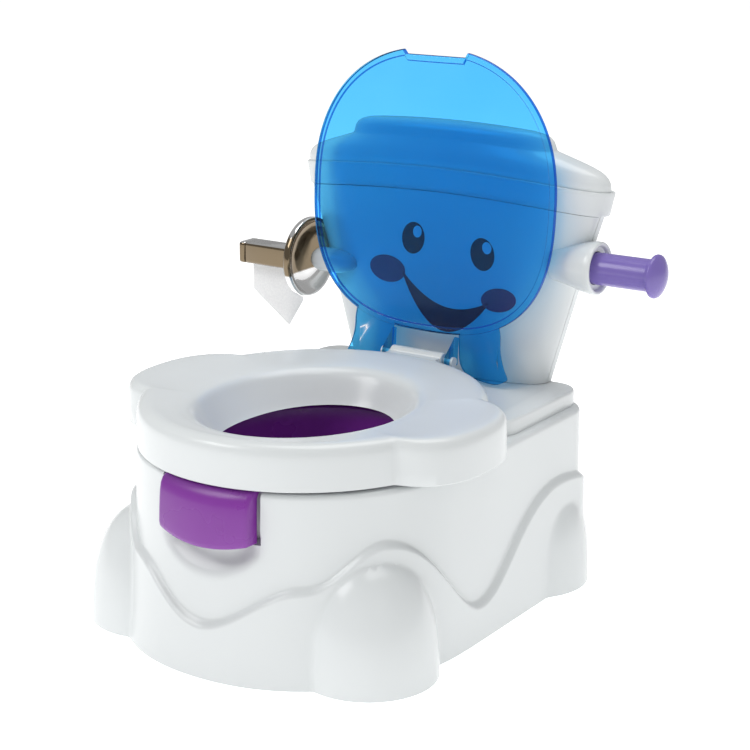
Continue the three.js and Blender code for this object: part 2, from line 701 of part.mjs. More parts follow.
function flushCollar() {
  const bore = 13;
  const profile = [[bore, 98], [COLLAR_RADIUS, 98], [COLLAR_RADIUS, COLLAR_STEP_X],
    [COLLAR_STEP_RADIUS, COLLAR_STEP_X], [COLLAR_STEP_RADIUS, 133], [20.5, 134.5], [20.5, 137],
    [19, COLLAR_END_X], [17.5, 137.5], [16.5, 135], [bore, 135], [bore, 98]];
  return onFlushAxis(turned(profile, 'x', 24));
}

function flushPlunger() {
  const profile = [[0, 76], [STEM_RADIUS, 76], [STEM_RADIUS, SHOULDER_X], [12.4, SHOULDER_X], [12.4, 170],
    [12.8, 177], [15.5, 180], [16.6, 184], [16.6, 187.5], [15.4, 190], [11, 191.4], [0, REACH_X]];
  return onFlushAxis(turned(profile, 'x', 24));
}

function springClip() {
  const [bore, rim, near, far] = [STEM_RADIUS + GAP, 7, BRIDGE_X - 2, BRIDGE_X - GAP];
  return onFlushAxis(turned([[bore, near], [rim, near], [rim, far], [bore, far], [bore, near]], 'x', 20));
}

class SpringLine extends THREE.Curve {
  constructor(turns, radius, start, end) {
    super();
    Object.assign(this, { turns, radius, start, end });
  }

  getPoint(t) {
    const angle = 2 * Math.PI * this.turns * t;
    const x = THREE.MathUtils.lerp(this.start, this.end, t);
    return new THREE.Vector3(x, this.radius * Math.cos(angle), this.radius * Math.sin(angle));
  }
}

function returnSpring() {
  const [turns, wireRadius] = [4, 0.7];
  const start = BRIDGE_X + BRIDGE_THICKNESS + GAP + wireRadius;
  const end = SHOULDER_X - GAP - wireRadius;
  const wire = new THREE.Shape();
  wire.absarc(0, 0, wireRadius, 0, 2 * Math.PI);
  const coil = new THREE.ExtrudeGeometry(wire, {
    steps: turns * 10,
    curveSegments: 2,
    extrudePath: new SpringLine(turns, 6.5, start, end),
    bevelEnabled: false,
  });
  return onFlushAxis(coil);
}

function guideBridge() {
  const rear = TANK_REAR_Y - TANK_WALL - GAP - FLUSH_Y;
  const [depth, height, corner] = [18, 36, 2];
  const plate = roundedBox(BRIDGE_THICKNESS, depth, height, corner, 'x')
    .translate(BRIDGE_X + BRIDGE_THICKNESS / 2, rear - depth / 2, 0);
  const bore = rod(STEM_RADIUS + GAP, 20, 'x').translate(BRIDGE_X, 0, 0);
  return onFlushAxis(cut(plate, bore));
}

// ---------- electronics in the cistern ----------
const BOARD_Y = FLUSH_Y + 5;

const soundBoard = () => box(8, 64, BOARD_Y, BOARD_Y + 1.6, FLUSH_Z - 22, FLUSH_Z + 16);

function tactSwitch() {
  const body = box(57, 64, BOARD_Y - 9, BOARD_Y - GAP, FLUSH_Z - 4.5, FLUSH_Z + 4.5);
  return join(body, rod(2, 4, 'x', 16).translate(64.5, FLUSH_Y, FLUSH_Z));
}

function speaker() {
  const y = TANK_REAR_Y - TANK_WALL - GAP;
  const rim = SPEAKER_RADIUS;
  const profile = [[0, -12], [9, -12], [9, -7], [rim - 1, -3], [rim, -3], [rim, 0], [rim - 2, 0],
    [7, -2.5], [0, -2]];
  return turned(profile, 'y', 20).translate(SPEAKER_X, y, SPEAKER_Z);
}

function batteryBox() {
  const [depth, rear] = [14, TANK_REAR_Y - TANK_WALL - GAP];
  const [wide, low, high] = [DOOR_HALF_WIDTH + 2, DOOR_Z0 - 2, DOOR_Z1 + 2];
  const tray = box(-wide, wide, rear - depth, rear, low, high);
  return cut(tray, box(-wide + 2, wide - 2, rear - depth + 2, rear + 1, low + 2, high - 2));
}

function battery(z) {
  const y = TANK_REAR_Y - TANK_WALL - 7;
  const profile = [[0, -22], [5.2, -22], [5.2, 21], [1.9, 21], [1.9, 22.4], [0, 22.4]];
  return turned(profile, 'x', 14).translate(0, y, z);
}

function batteryDoor() {
  const [half, inner] = [DOOR_HALF_WIDTH, TANK_REAR_Y - TANK_WALL];
  const door = box(-half, half, inner, TANK_REAR_Y, DOOR_Z0, DOOR_Z1);
  return cut(door, screwBore(12, 'y').translate(0, TANK_REAR_Y, DOOR_Z1 - 5));
}

// ---------- fasteners ----------
function screw(length, axis) {
  const headRadius = 3.2;
  const profile = [[0, 0], [SCREW_RADIUS, 0], [SCREW_RADIUS, length], [headRadius, length],
    [headRadius, length + 1.6], [0, length + 2]];
  return turned(profile, axis, 12);
}

// ---------- paper holder ----------
function holderHub() {
  const profile = [[0, 76], [HUB_RADIUS, 76], [HUB_RADIUS, 114], [7, 121], [0, 121]];
  return turned(profile, 'x', 24).rotateZ(Math.PI).translate(0, HOLDER_Y, HOLDER_Z);
}

// a dished disc that opens towards the cistern
function holderDisc() {
  const rim = DISC_RADIUS;
  const hollow = [[0, 4], [18, 3.5], [rim - 8, 1.5], [rim - 3.5, -0.5], [rim - 1.5, 0]];
  const back = [[rim, 1.5], [rim, 4], [rim - 6, 8], [16, 10], [0, 10]];
  const profile = [...hollow, ...back].map(([r, x]) => [r, -DISC_X + x]);
  return turned(profile, 'x', 28).rotateZ(Math.PI).translate(0, HOLDER_Y, HOLDER_Z);
}

function holderBar() {
  const start = -DISC_X + 10 + GAP;
  const bar = roundedBox(REACH_X - start, 2 * BAR_HALF_DEPTH, 2 * BAR_HALF_HEIGHT, 4, 'x');
  return bar.translate(-(REACH_X + start) / 2, HOLDER_Y, BAR_Z);
}

// a plain stand-in for the sheet of paper, folded to a point
function paperSheet() {
  const top = BAR_Z - BAR_HALF_HEIGHT - GAP;
  const outline = new THREE.Shape();
  outline.moveTo(-187, top);
  outline.lineTo(-136, top);
  outline.lineTo(-136, top - 28);
  outline.lineTo(-146, top - 52);
  outline.lineTo(-174, top - 32);
  const sheet = new THREE.ExtrudeGeometry(outline, { depth: 1.2, bevelEnabled: false });
  return sheet.rotateX(Math.PI / 2).translate(0, HOLDER_Y + 3, 0);
}

// ---------- assembly ----------
const chair = new THREE.Group();

function add(name, geometry, material) {
  const mesh = new THREE.Mesh(geometry, material);
  mesh.name = name;
  chair.add(mesh);
  return mesh;
}

add('base_shell', baseShell(), white());
for (const [place, side, y] of [['front_right', 1, FRONT_FOOT_Y], ['front_left', -1, FRONT_FOOT_Y],
  ['rear_right', 1, REAR_FOOT_Y], ['rear_left', -1, REAR_FOOT_Y]]) {
  add(`grip_pad_${place}`, footPad(side, y), greyPlastic());
}
add('bowl', bowl(), purple());
add('seat_ring', seatRing(), white());
add('lid', lid(), lidBlue());
add('hinge_pin_right', hingePin(1), white());
add('hinge_pin_left', hingePin(-1), white());

add('cistern_front_shell', frontShell(), white());
add('cistern_rear_shell', rearShell(), white());
add('cistern_cover', tankCover(), white());
SCREW_PLACES.forEach(([x, z], i) => {
  const fastener = screw(18, 'y').translate(0, TANK_REAR_Y - 18 + GAP, 0);
  add(`cistern_screw_${i + 1}`, fastener.translate(x, 0, z), steel());
});
FOOT_SCREW_X.forEach((x, i) => {
  const fastener = screw(16, 'z').rotateX(Math.PI);
  add(`foot_screw_${i + 1}`, fastener.translate(x, FOOT_SCREW_Y, TANK_FOOT_Z + 11), steel());
});

add('flush_collar', flushCollar(), white());
add('flush_plunger', flushPlunger(), lavender());
add('plunger_clip', springClip(), steel());
add('plunger_spring', returnSpring(), steel());
add('plunger_bridge', guideBridge(), white());

add('sound_board', soundBoard(), plastic(0x1f6b3a, 0.5));
add('tact_switch', tactSwitch(), plastic(0x2a2a2c, 0.5));
add('speaker', speaker(), plastic(0x2f2f33, 0.6));
add('battery_box', batteryBox(), greyPlastic());
add('battery_upper', battery(DOOR_Z1 - 10), metal(0x7c7f84, 0.4));
add('battery_lower', battery(DOOR_Z0 + 10), metal(0x7c7f84, 0.4));
add('battery_door', batteryDoor(), white());
add('battery_door_screw', screw(6, 'y').translate(0, TANK_REAR_Y - 6 + GAP, DOOR_Z1 - 5), steel());

add('holder_hub', holderHub(), white());
add('holder_disc', holderDisc(), chrome());
add('holder_bar', holderBar(), chrome());
add('paper_sheet', paperSheet(), new THREE.MeshStandardMaterial({ color: 0xf7f7f5, roughness: 0.9 }));

export default chair;
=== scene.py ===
import json
import math

import bmesh
import bpy
import numpy as np
from mathutils import Matrix, Vector


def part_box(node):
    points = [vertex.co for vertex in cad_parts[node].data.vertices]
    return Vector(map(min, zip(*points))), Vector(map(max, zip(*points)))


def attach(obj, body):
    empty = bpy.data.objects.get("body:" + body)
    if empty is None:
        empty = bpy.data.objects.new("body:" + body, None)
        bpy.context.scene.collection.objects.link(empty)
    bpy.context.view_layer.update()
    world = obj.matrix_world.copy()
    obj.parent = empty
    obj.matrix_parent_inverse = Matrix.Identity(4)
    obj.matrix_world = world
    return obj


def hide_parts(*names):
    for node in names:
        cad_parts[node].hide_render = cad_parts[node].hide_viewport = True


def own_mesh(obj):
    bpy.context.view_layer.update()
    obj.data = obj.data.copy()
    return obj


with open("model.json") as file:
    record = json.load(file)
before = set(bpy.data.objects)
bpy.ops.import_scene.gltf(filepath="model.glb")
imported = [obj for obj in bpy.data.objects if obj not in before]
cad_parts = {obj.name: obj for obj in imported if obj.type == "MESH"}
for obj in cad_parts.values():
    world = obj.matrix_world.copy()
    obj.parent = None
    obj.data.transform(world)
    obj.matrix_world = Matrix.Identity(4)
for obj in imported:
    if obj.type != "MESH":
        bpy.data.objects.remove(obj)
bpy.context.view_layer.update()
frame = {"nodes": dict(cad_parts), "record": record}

# Potty training chair. Shapes are worked out in millimetres in the CAD frame, then scaled to metres:
# +Z is up, the front faces -Y and the flush plunger is on the +X side.
MM = 0.001
TAU = 2 * math.pi

# ---------- base ----------
HALF_LENGTH = 174
DECK_Z = 138
DECK_HALF_WIDTH = 127
FRONT_CENTRE_Y = -30
FRONT_REACH_TOP = 127
FRONT_POWER = 2.15
SIDE_FLARE = 2
FLARE_POWER = 1.6
REAR_CORNER = 28
SKIRT_CLEAR = 1.2
STAND_OUT = 4.5
FOOT_X = 95
FOOT_RADIUS = 50
FOOT_POWER = 2.4
REAR_FOOT_POWER = 3.2
FRONT_FOOT = (-99, 90)
REAR_FOOT = (122, 78)
FOOT_BLEND = 2.5
# angle round the base from the front, and the height of the wavy moulding there
ARCH_POINTS = ((0, 40), (27, 72), (47, 101), (87, 30), (131, 91), (165, 52), (180, 48))
HOLE_CENTRE_Y = -39
DECK_HOLE_HALF = (76, 90)
NOTCH_HALF_WIDTH = 42
NOTCH_FLOOR_Z = 95
NOTCH_BACK_Y = -136
NOTCH_RISE = 5.5
WALL = 3.4

# ---------- seat ----------
RING_CENTRE_Y = -30
RING_HALF = (126, 133)
RING_Z = 140.1
EAR_CENTRE = (101, -32)
EAR_HALF = (49, 60)
EAR_POWER = 2.4
EAR_BLEND = 2
HINGE_Y = 112
HINGE_Z = 168
KNUCKLE_HALF_WIDTH = 24

# ---------- lid ----------
LID_LEAN = math.radians(3)
LID_FRONT = 7
LID_RECESS = 9
LID_BACK = 12
LID_HALF_WIDTH = 110.5
LID_CENTRE_UP = 129
LID_TOP_UP = 241
LID_BOTTOM_UP = 19

# ---------- cistern ----------
TANK_FRONT_Y = 136
TANK_REAR_Y = 167
TANK_SPLIT_Y = 157
TANK_FOOT_Z = 150.3
TANK_TOP_Z = 296
TANK_HALF_FOOT = 92
TANK_HALF_TOP = 134
TANK_WALL = 3
COVER_HALF_WIDTH = 141
COVER_DROP = 10
COVER_SEAM = 1.5
FLUSH_Y = 151
FLUSH_Z = 249
HOLDER_Y = 140.5
HOLDER_Z = 228
HUB_RADIUS = 10
HUB_SHOULDER_X = 100
HUB_DOME_LENGTH = 22
BAR_Z = 226


# ---------- mesh helpers ----------
class Build:
    """Collects closed shells, in millimetres, into one mesh object."""

    def __init__(self):
        self.points = []
        self.faces = []

    def grid(self, rows, ring=False, caps=True):
        """rows of points, each row a closed loop; ring joins the last row to the first"""
        rows = np.asarray(rows, float)
        count, width = rows.shape[:2]
        first = len(self.points)
        self.points.extend(rows.reshape(-1, 3).tolist())
        for r in range(count if ring else count - 1):
            low = first + r * width
            high = first + ((r + 1) % count) * width
            for c in range(width):
                d = (c + 1) % width
                self.faces.append((low + c, low + d, high + d, high + c))
        if caps and not ring:
            self.faces.append(tuple(range(first, first + width)))
            last = first + (count - 1) * width
            self.faces.append(tuple(range(last, last + width)))
        return self

    def prism(self, outline, levels, place=None):
        """an outline in a plane, raised through levels of (height, inset)"""
        rows = [np.column_stack((inset_loop(outline, inset), np.full(len(outline), height)))
                for height, inset in levels]
        if place is not None:
            rows = [place(row) for row in rows]
        return self.grid(rows)

    def lathe(self, profile, place, segments=96, closed=False):
        """(radius, height) pairs turned about an axis; place turns (x, y, height) into the frame"""
        turn = np.arange(segments) * TAU / segments
        rows = []
        for radius, height in profile:
            flat = np.column_stack((radius * np.cos(turn), radius * np.sin(turn), np.full(segments, height)))
            rows.append(place(flat))
        return self.grid(rows, ring=closed)

    def done(self, name, look, sharp=35):
        mesh = bpy.data.meshes.new(name)
        mesh.from_pydata((np.asarray(self.points) * MM).tolist(), [], self.faces)
        work = bmesh.new()
        work.from_mesh(mesh)
        bmesh.ops.remove_doubles(work, verts=work.verts, dist=2e-6)
        bmesh.ops.recalc_face_normals(work, faces=work.faces)
        work.to_mesh(mesh)
        work.free()
        mesh.shade_smooth()
        mesh.set_sharp_from_angle(angle=math.radians(sharp))
        piece = bpy.data.objects.new(name, mesh)
        bpy.context.scene.collection.objects.link(piece)
        piece.data.materials.append(look)
        return piece


def settle(piece, body, slot, *nodes):
    """The piece rides on a body and stands for CAD nodes, which it hides; the slot is not used."""
    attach(piece, body)
    if nodes:
        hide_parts(*nodes)
    return piece


def inset_loop(outline, inset):
    """A closed 2D outline moved inwards by inset."""
    outline = np.asarray(outline, float)
    if inset == 0:
        return outline
    along = np.roll(outline, -1, axis=0) - np.roll(outline, 1, axis=0)
    along /= np.maximum(np.linalg.norm(along, axis=1, keepdims=True), 1e-9)
    x, y = outline[:, 0], outline[:, 1]
    area = np.sum(x * np.roll(y, -1) - np.roll(x, -1) * y)
    side = 1 if area > 0 else -1
    return outline + inset * side * np.column_stack((-along[:, 1], along[:, 0]))


def rounded(points, radius, steps=6):
    """A closed 2D polygon whose corners are rounded; radius is one number or one for each corner."""
    points = np.asarray(points, float)
    radii = np.broadcast_to(radius, len(points))
    loop = []
    for i, corner in enumerate(points):
        before = points[i - 1] - corner
        after = points[(i + 1) % len(points)] - corner
        r = min(radii[i], 0.49 * np.linalg.norm(before), 0.49 * np.linalg.norm(after))
        a = corner + before / np.linalg.norm(before) * r
        b = corner + after / np.linalg.norm(after) * r
        for t in np.linspace(0, 1, steps + 1):
            loop.append((1 - t) ** 2 * a + 2 * t * (1 - t) * corner + t * t * b)
    return np.array(loop)


def ease(t):
    return 0.5 - 0.5 * np.cos(np.pi * np.clip(t, 0, 1))


def smooth_min(a, b, blend):
    share = np.clip(0.5 + 0.5 * (b - a) / blend, 0, 1)
    return b * (1 - share) + a * share - blend * share * (1 - share)


def reach(inside, origin_x, origin_y, step_x, step_y, limit=260.0):
    """How far each ray goes before it leaves an implicit shape."""
    near = np.zeros(np.broadcast(origin_x, step_x).shape)
    far = np.full_like(near, limit)
    for _ in range(30):
        middle = (near + far) / 2
        out = inside(origin_x + middle * step_x, origin_y + middle * step_y) >= 0
        far = np.where(out, middle, far)
        near = np.where(out, near, middle)
    return near


def ellipse(x, y, half, centre):
    return (np.hypot((x - centre[0]) / half[0], (y - centre[1]) / half[1]) - 1) * half[0]


def along_x(y, z, side=1):
    """Places a turned piece on an axis along X."""
    def place(flat):
        return np.column_stack((side * flat[:, 2], y + flat[:, 0], z + flat[:, 1]))
    return place


# ---------- base ----------
def arch_height(angle):
    degrees = np.degrees(np.abs((angle + np.pi) % TAU - np.pi))
    knots = np.array([a for a, _ in ARCH_POINTS], float)
    heights = np.array([h for _, h in ARCH_POINTS], float)
    i = np.clip(np.searchsorted(knots, degrees), 1, len(knots) - 1)
    share = ease((degrees - knots[i - 1]) / (knots[i] - knots[i - 1]))
    return heights[i - 1] + (heights[i] - heights[i - 1]) * share


def body_distance(x, y, z):
    flare = (1 - np.clip(z / DECK_Z, 0, 1)) ** FLARE_POWER
    half_width = DECK_HALF_WIDTH + SIDE_FLARE * flare
    reach_floor = HALF_LENGTH - STAND_OUT + FRONT_CENTRE_Y
    front_reach = FRONT_REACH_TOP + (reach_floor - FRONT_REACH_TOP) * flare
    side = np.abs(x)
    ahead = np.maximum(FRONT_CENTRE_Y - y, 0)
    across = (side / half_width) ** FRONT_POWER + (ahead / front_reach) ** FRONT_POWER
    front = (across ** (1 / FRONT_POWER) - 1) * front_reach
    rear_y = HALF_LENGTH - STAND_OUT - SIDE_FLARE * (1 - flare)
    dx = side - half_width + REAR_CORNER
    dy = y - rear_y + REAR_CORNER
    rear = np.hypot(np.maximum(dx, 0), np.maximum(dy, 0)) + np.minimum(np.maximum(dx, dy), 0) - REAR_CORNER
    return np.where(y < FRONT_CENTRE_Y, front, rear)


def foot_distance(x, y, z, centre_y, height):
    power = FOOT_POWER if centre_y < 0 else REAR_FOOT_POWER
    shrink = np.maximum(0, 1 - (z / height) ** power) ** (1 / power)
    return np.hypot(np.abs(x) - FOOT_X, y - centre_y) - FOOT_RADIUS * shrink


def scoop_depth(x, z):
    """The finger scoop in the front wall, under the grip."""
    return 8 * ease(2.4 * (1 - np.hypot(x / 47, (z - NOTCH_FLOOR_Z - 6) / 27)))


def base_columns():
    """Origins and directions of the rays that find the wall, from the front by the right to the back."""
    half, front, rear = 75, -85, 110
    columns = [(x, front, 0.0) for x in np.linspace(0, NOTCH_HALF_WIDTH - 0.3, 17)]
    columns += [(x, front, 0.0) for x in np.linspace(NOTCH_HALF_WIDTH + 0.3, half, 14)]
    columns += [(half, front, a) for a in np.linspace(0, math.pi / 2, 56)[1:]]
    columns += [(half, y, math.pi / 2) for y in np.linspace(front, rear, 66)[1:]]
    columns += [(half, rear, a) for a in np.linspace(math.pi / 2, math.pi, 50)[1:]]
    columns += [(x, rear, math.pi) for x in np.linspace(half, 0, 20)[1:]]
    mirrored = [(-x, y, -a) for x, y, a in reversed(columns[1:-1])]
    return np.array(columns + mirrored)


def notch_floor(x):
    """The notch's floor, which rises towards both sides like the grip's lower edge."""
    return NOTCH_FLOOR_Z + NOTCH_RISE * np.minimum(1, (x / NOTCH_HALF_WIDTH) ** 2)


def base_levels(arch, floor):
    """Heights of the wall's rows: they follow the moulding, then the notch's floor, then the deck."""
    anchor = np.maximum(floor, arch + 12)
    rows = [SKIRT_CLEAR + (arch - 7 - SKIRT_CLEAR) * t for t in np.linspace(0, 1, 46)]
    rows += [arch + step for step in (-6.6, -6, -5.2, -4, -2.6, -1.2, 0.2, 1.4, 2.3, 2.9, 3.5, 4.4, 5.6, 7)]
    rows += [arch + 7 + (anchor - 0.3 - arch - 7) * t for t in np.linspace(0, 1, 12)[1:]]
    rows += [anchor + 0.3 + (DECK_Z - 4 - anchor - 0.3) * t for t in np.linspace(0, 1, 18)]
    return np.array(rows)


def base_wall(origin_x, origin_y, angle):
    step_x, step_y = np.sin(angle), -np.cos(angle)
    middle = reach(lambda x, y: body_distance(x, y, 60.0), origin_x, origin_y, step_x, step_y)
    arch = arch_height(np.arctan2(origin_x + middle * step_x, -(origin_y + middle * step_y)))
    floor = notch_floor(origin_x)
    z = base_levels(arch, floor)

    def outside(x, y):
        moulding = STAND_OUT * ease((arch + 2 - z) / 6)
        body = body_distance(x, y, z) - moulding
        front = foot_distance(x, y, z, *FRONT_FOOT)
        rear = foot_distance(x, y, z, *REAR_FOOT)
        skin = smooth_min(smooth_min(body, front, FOOT_BLEND), rear, FOOT_BLEND)
        return skin + np.where(y < 0, scoop_depth(x, z), 0)

    distance = reach(outside, np.broadcast_to(origin_x, z.shape), np.broadcast_to(origin_y, z.shape),
                     np.broadcast_to(step_x, z.shape), np.broadcast_to(step_y, z.shape))
    whole_rim = distance[-1]
    in_notch = (np.abs(origin_x) < NOTCH_HALF_WIDTH) & (angle == 0)
    recess = in_notch & (z > floor)
    distance = np.where(recess, np.minimum(distance, origin_y - NOTCH_BACK_Y), distance)
    return distance, z, whole_rim


def base_piece(look):
    columns = base_columns()
    origin_x, origin_y, angle = columns.T
    step = np.column_stack((np.sin(angle), -np.cos(angle)))
    origin = columns[:, :2]
    distance, z, whole_rim = base_wall(origin_x, origin_y, angle)

    def row(reach_now, height):
        flat = origin + step * np.asarray(reach_now)[:, None]
        return np.column_stack((flat, np.broadcast_to(height, len(flat))))

    rows = [row(distance[r], z[r]) for r in range(len(z))]
    rim = distance[-1]
    rounding = 4
    for turn in np.linspace(0, math.pi / 2, 6)[1:]:
        rows.append(row(rim - rounding * (1 - math.cos(turn)), DECK_Z - rounding * (1 - math.sin(turn))))
    edge = row(whole_rim - rounding, DECK_Z)[:, :2]
    turn = np.arctan2(edge[:, 0], -(edge[:, 1] - HOLE_CENTRE_Y))

    def hole_row(grow, height):
        across, along = DECK_HOLE_HALF
        return np.column_stack(((across + grow) * np.sin(turn),
                                HOLE_CENTRE_Y - (along + grow) * np.cos(turn),
                                np.full(len(turn), height)))

    hole = hole_row(1, DECK_Z)
    rows += [rows[-1] * (1 - t) + hole * t for t in (0.15, 0.4, 0.7, 1)]
    rows += [hole_row(0.3, DECK_Z - 0.3), hole_row(0, DECK_Z - 1), hole_row(0, DECK_Z - WALL),
             hole_row(1, DECK_Z - WALL)]
    inner = []
    for r in range(len(z) - 1, -1, -4):
        nearest = distance[max(0, r - 4):r + 5].min(axis=0)
        window = np.min([np.roll(nearest, shift) for shift in (-2, -1, 0, 1, 2)], axis=0) - WALL
        inner.append(row(window, np.minimum(z[r], DECK_Z - WALL)))
    inner.append(row(distance[0] - WALL, SKIRT_CLEAR))
    build = Build().grid(rows + inner, ring=True)
    build.prism(plinth_outline(), [(DECK_Z - 1, 0), (148, 0), (149.2, 0.35), (149.8, 1), (150, 2)])
    for side in (1, -1):
        for y in (FRONT_FOOT[0], REAR_FOOT[0]):
            disc = [(side * FOOT_X + 48 * math.cos(a),
                     y + 48 * math.sin(a)) for a in np.arange(64) * TAU / 64]
            build.prism(disc, [(3.3, 0), (6.3, 0)])
    return build.done("chair_base", look, sharp=38)


def plinth_outline():
    """The raised platform at the rear; its front edge follows the seat ring."""
    half, front, rear, gap = 119, 41, 166, 1.2
    across = np.linspace(-half, half, 121)
    squash = np.sqrt(np.maximum(0, 1 - (across / (RING_HALF[0] + gap)) ** 2))
    ring_rear = RING_CENTRE_Y + (RING_HALF[1] + gap) * squash
    corner = 20
    spare = np.maximum(np.abs(across) - half + corner, 0)
    lip = front + corner - np.sqrt(np.maximum(corner ** 2 - spare ** 2, 0))
    front_edge = np.maximum(ring_rear, lip)
    rear_edge = rear - corner + np.sqrt(np.maximum(corner ** 2 - spare ** 2, 0))
    first = np.column_stack((across, front_edge))
    second = np.column_stack((across, rear_edge))[::-1]
    return np.vstack((first, second))


# ---------- bowl ----------
def bowl_piece(look):
    def loop(inset, height, count=120):
        turn = np.arange(count) * TAU / count
        return np.column_stack(((75 - inset) * np.sin(turn), HOLE_CENTRE_Y - (89 - inset) * np.cos(turn),
                                np.full(count, height)))

    wall = [(40, 40), (28, 40), (22, 42), (17, 46), (11, 54), (7, 64), (4.5, 78), (3, 95), (1.5, 115),
            (0.6, 130),
            (0, 138.3), (-9, 138.3), (-9, 139.3), (-8.5, 140.3), (0, 140.3), (2, 139.6), (2.8, 138)]
    inside = [(3.4, 128), (4.2, 115), (5.6, 95), (7, 78), (9.6, 65), (13.6, 56), (19.4, 48.5), (24, 44.5),
              (29, 42.5), (41, 42.5)]
    build = Build().grid([loop(*level) for level in wall + inside])
    return build.done("potty_bowl", look, sharp=50)


def grip_piece(look):
    """The bowl's front grip: it crosses the deck, rolls over and hangs in the notch."""
    half, rear_y = 39.0, -131.0
    outside = [(rear_y, 140.4), (-149, 140.4), (-155, 139.8), (-160, 138.2), (-163.6, 135.4),
               (-165.8, 131.6),
               (-167, 126), (-167.8, 118), (-168.4, 108), (-168.8, 100), (-168.4, 97), (-167.2, 95.6)]
    inside = [(-165.4, 95.8), (-164.6, 97.4), (-164.4, 102), (-163.8, 112), (-163, 120), (-161.8, 127),
              (-159.4, 132.4), (-155.4, 136), (-149, 138), (rear_y, 138.2)]
    ends = [(y if y > -157 else -157 + 0.12 * (y + 157), z) for y, z in inside]
    across = np.concatenate((-half + np.array([0, 0.25, 0.9, 2, 3.2, 3.5]),
                             np.linspace(-half + 6, half - 6, 27),
                             half - np.array([3.5, 3.2, 2, 0.9, 0.25, 0])))
    rows = []
    for x in across:
        edge = abs(x) / half
        near = half - abs(x)
        bevel = 2.0 - math.sqrt(max(0.0, 4.0 - max(0.0, 2.0 - near) ** 2))
        back = ends if near < 3.3 else inside
        crown = 6.5 * edge ** 2
        row = []
        for k, (y, z) in enumerate(outside + back):
            hang = min(max((138 - z) / 40, 0), 1)
            deep = float(ease((rear_y - y) / 20))
            front = k < len(outside)
            pull = bevel * deep if front else 0
            lift = NOTCH_RISE * hang * edge ** 2 + (bevel * hang if front else 0)
            row.append((x, y + crown * deep + pull, z + lift - (bevel if front and hang == 0 else 0)))
        rows.append(row)
    return Build().grid(rows).done("bowl_grip", look, sharp=40)


# ---------- seat ring ----------
def ring_outline(x, y):
    ring = ellipse(x, y, RING_HALF, (0, RING_CENTRE_Y))
    across = np.abs(np.abs(x) - EAR_CENTRE[0]) / EAR_HALF[0]
    along = np.abs(y - EAR_CENTRE[1]) / EAR_HALF[1]
    ear = ((across ** EAR_POWER + along ** EAR_POWER) ** (1 / EAR_POWER) - 1) * EAR_HALF[0]
    return smooth_min(ring, ear, EAR_BLEND)


def ring_piece(look):
    centre_y, count = -36, 400
    turn = np.arange(count) * TAU / count
    step_x, step_y = np.sin(turn), -np.cos(turn)
    zero = np.zeros(count)
    near = reach(lambda x, y: ellipse(x, y, (73, 87), (0, HOLE_CENTRE_Y)), zero, zero + centre_y, step_x,
                 step_y)
    far = reach(ring_outline, zero, zero + centre_y, step_x, step_y)
    # share of the way from the hole to the rim, an extra distance outwards, and the height
    profile = [(1, -0.6, RING_Z), (1, 0, RING_Z + 0.6), (1, 0, 150), (1, 0, 160), (1, -0.1, 163.6),
               (1, -0.5, 166.4),
               (1, -1.3, 168.7), (1, -2.6, 170.4), (1, -4.4, 171.6), (1, -6.8, 172.3), (1, -10, 172.5),
               (0.85, -6, 172.3), (0.7, -3, 171.8), (0.5, 0, 171.1), (0.3, 3, 170.5), (0.15, 7, 170),
               (0, 11, 169.4), (0, 8, 168.7), (0, 5.4, 167.5), (0, 3.2, 165.8), (0, 1.2, 163.4),
               (0, -0.8, 160),
               (0, -3.4, 155), (0, -6.4, 149), (0, -8.6, 145), (0, -9.6, 143.6), (0, -8.4, 143.2),
               (0, -6, 145),
               (0, -3.6, 149), (0, 0.6, 157), (0, 5, 163), (0, 11, 165.8), (0.5, 0, 167.4), (1, -11, 168.6),
               (1, -6, 166.6), (1, -4, 162), (1, -3.6, RING_Z + 0.6), (1, -3, RING_Z)]
    rows = []
    closing = 1 + 0.7 * step_x ** 2
    for share, extra, height in profile:
        t = near + (far - near) * share + np.where((share == 0) & (extra < 0), extra * closing, extra)
        rows.append(np.column_stack((t * step_x, centre_y + t * step_y, np.full(count, height))))
    build = Build().grid(rows, ring=True)
    web = rounded([(-23, 94), (23, 94), (23, HINGE_Y), (-23, HINGE_Y)], 1.5)
    build.prism(web, [(HINGE_Z - 5, 0.5), (HINGE_Z - 4.5, 0), (HINGE_Z + 2.5, 0), (HINGE_Z + 3, 0.5)])
    tube = [(2.5, -KNUCKLE_HALF_WIDTH), (5.4, -KNUCKLE_HALF_WIDTH), (6, -KNUCKLE_HALF_WIDTH + 0.6),
            (6, KNUCKLE_HALF_WIDTH - 0.6), (5.4, KNUCKLE_HALF_WIDTH), (2.5, KNUCKLE_HALF_WIDTH)]
    build.lathe(tube, along_x(HINGE_Y, HINGE_Z), segments=48, closed=True)
    return build.done("seat_ring_shell", look, sharp=42)


# ---------- lid ----------
def lean(rows):
    """From the lid's own upright frame to the leaned-back place on the hinge."""
    rows = np.asarray(rows, float)
    x, y, z = rows[..., 0], rows[..., 1], rows[..., 2]
    cos, sin = math.cos(LID_LEAN), math.sin(LID_LEAN)
    return np.stack((x, HINGE_Y + y * cos + z * sin, HINGE_Z - y * sin + z * cos), axis=-1)


def lid_outline(x, z):
    below = z < LID_CENTRE_UP
    half_height = np.where(below, LID_CENTRE_UP - LID_BOTTOM_UP, LID_TOP_UP - LID_CENTRE_UP)
    power = np.where(below, 2.7, 2.25)
    across = (np.abs(x) / LID_HALF_WIDTH) ** power + (np.abs(z - LID_CENTRE_UP) / half_height) ** power
    shape = (across ** (1 / power) - 1) * LID_HALF_WIDTH
    notch = np.maximum(np.abs(x) - 27.5, LID_TOP_UP - 6 - z)
    return -smooth_min(-shape, notch, 1.2)


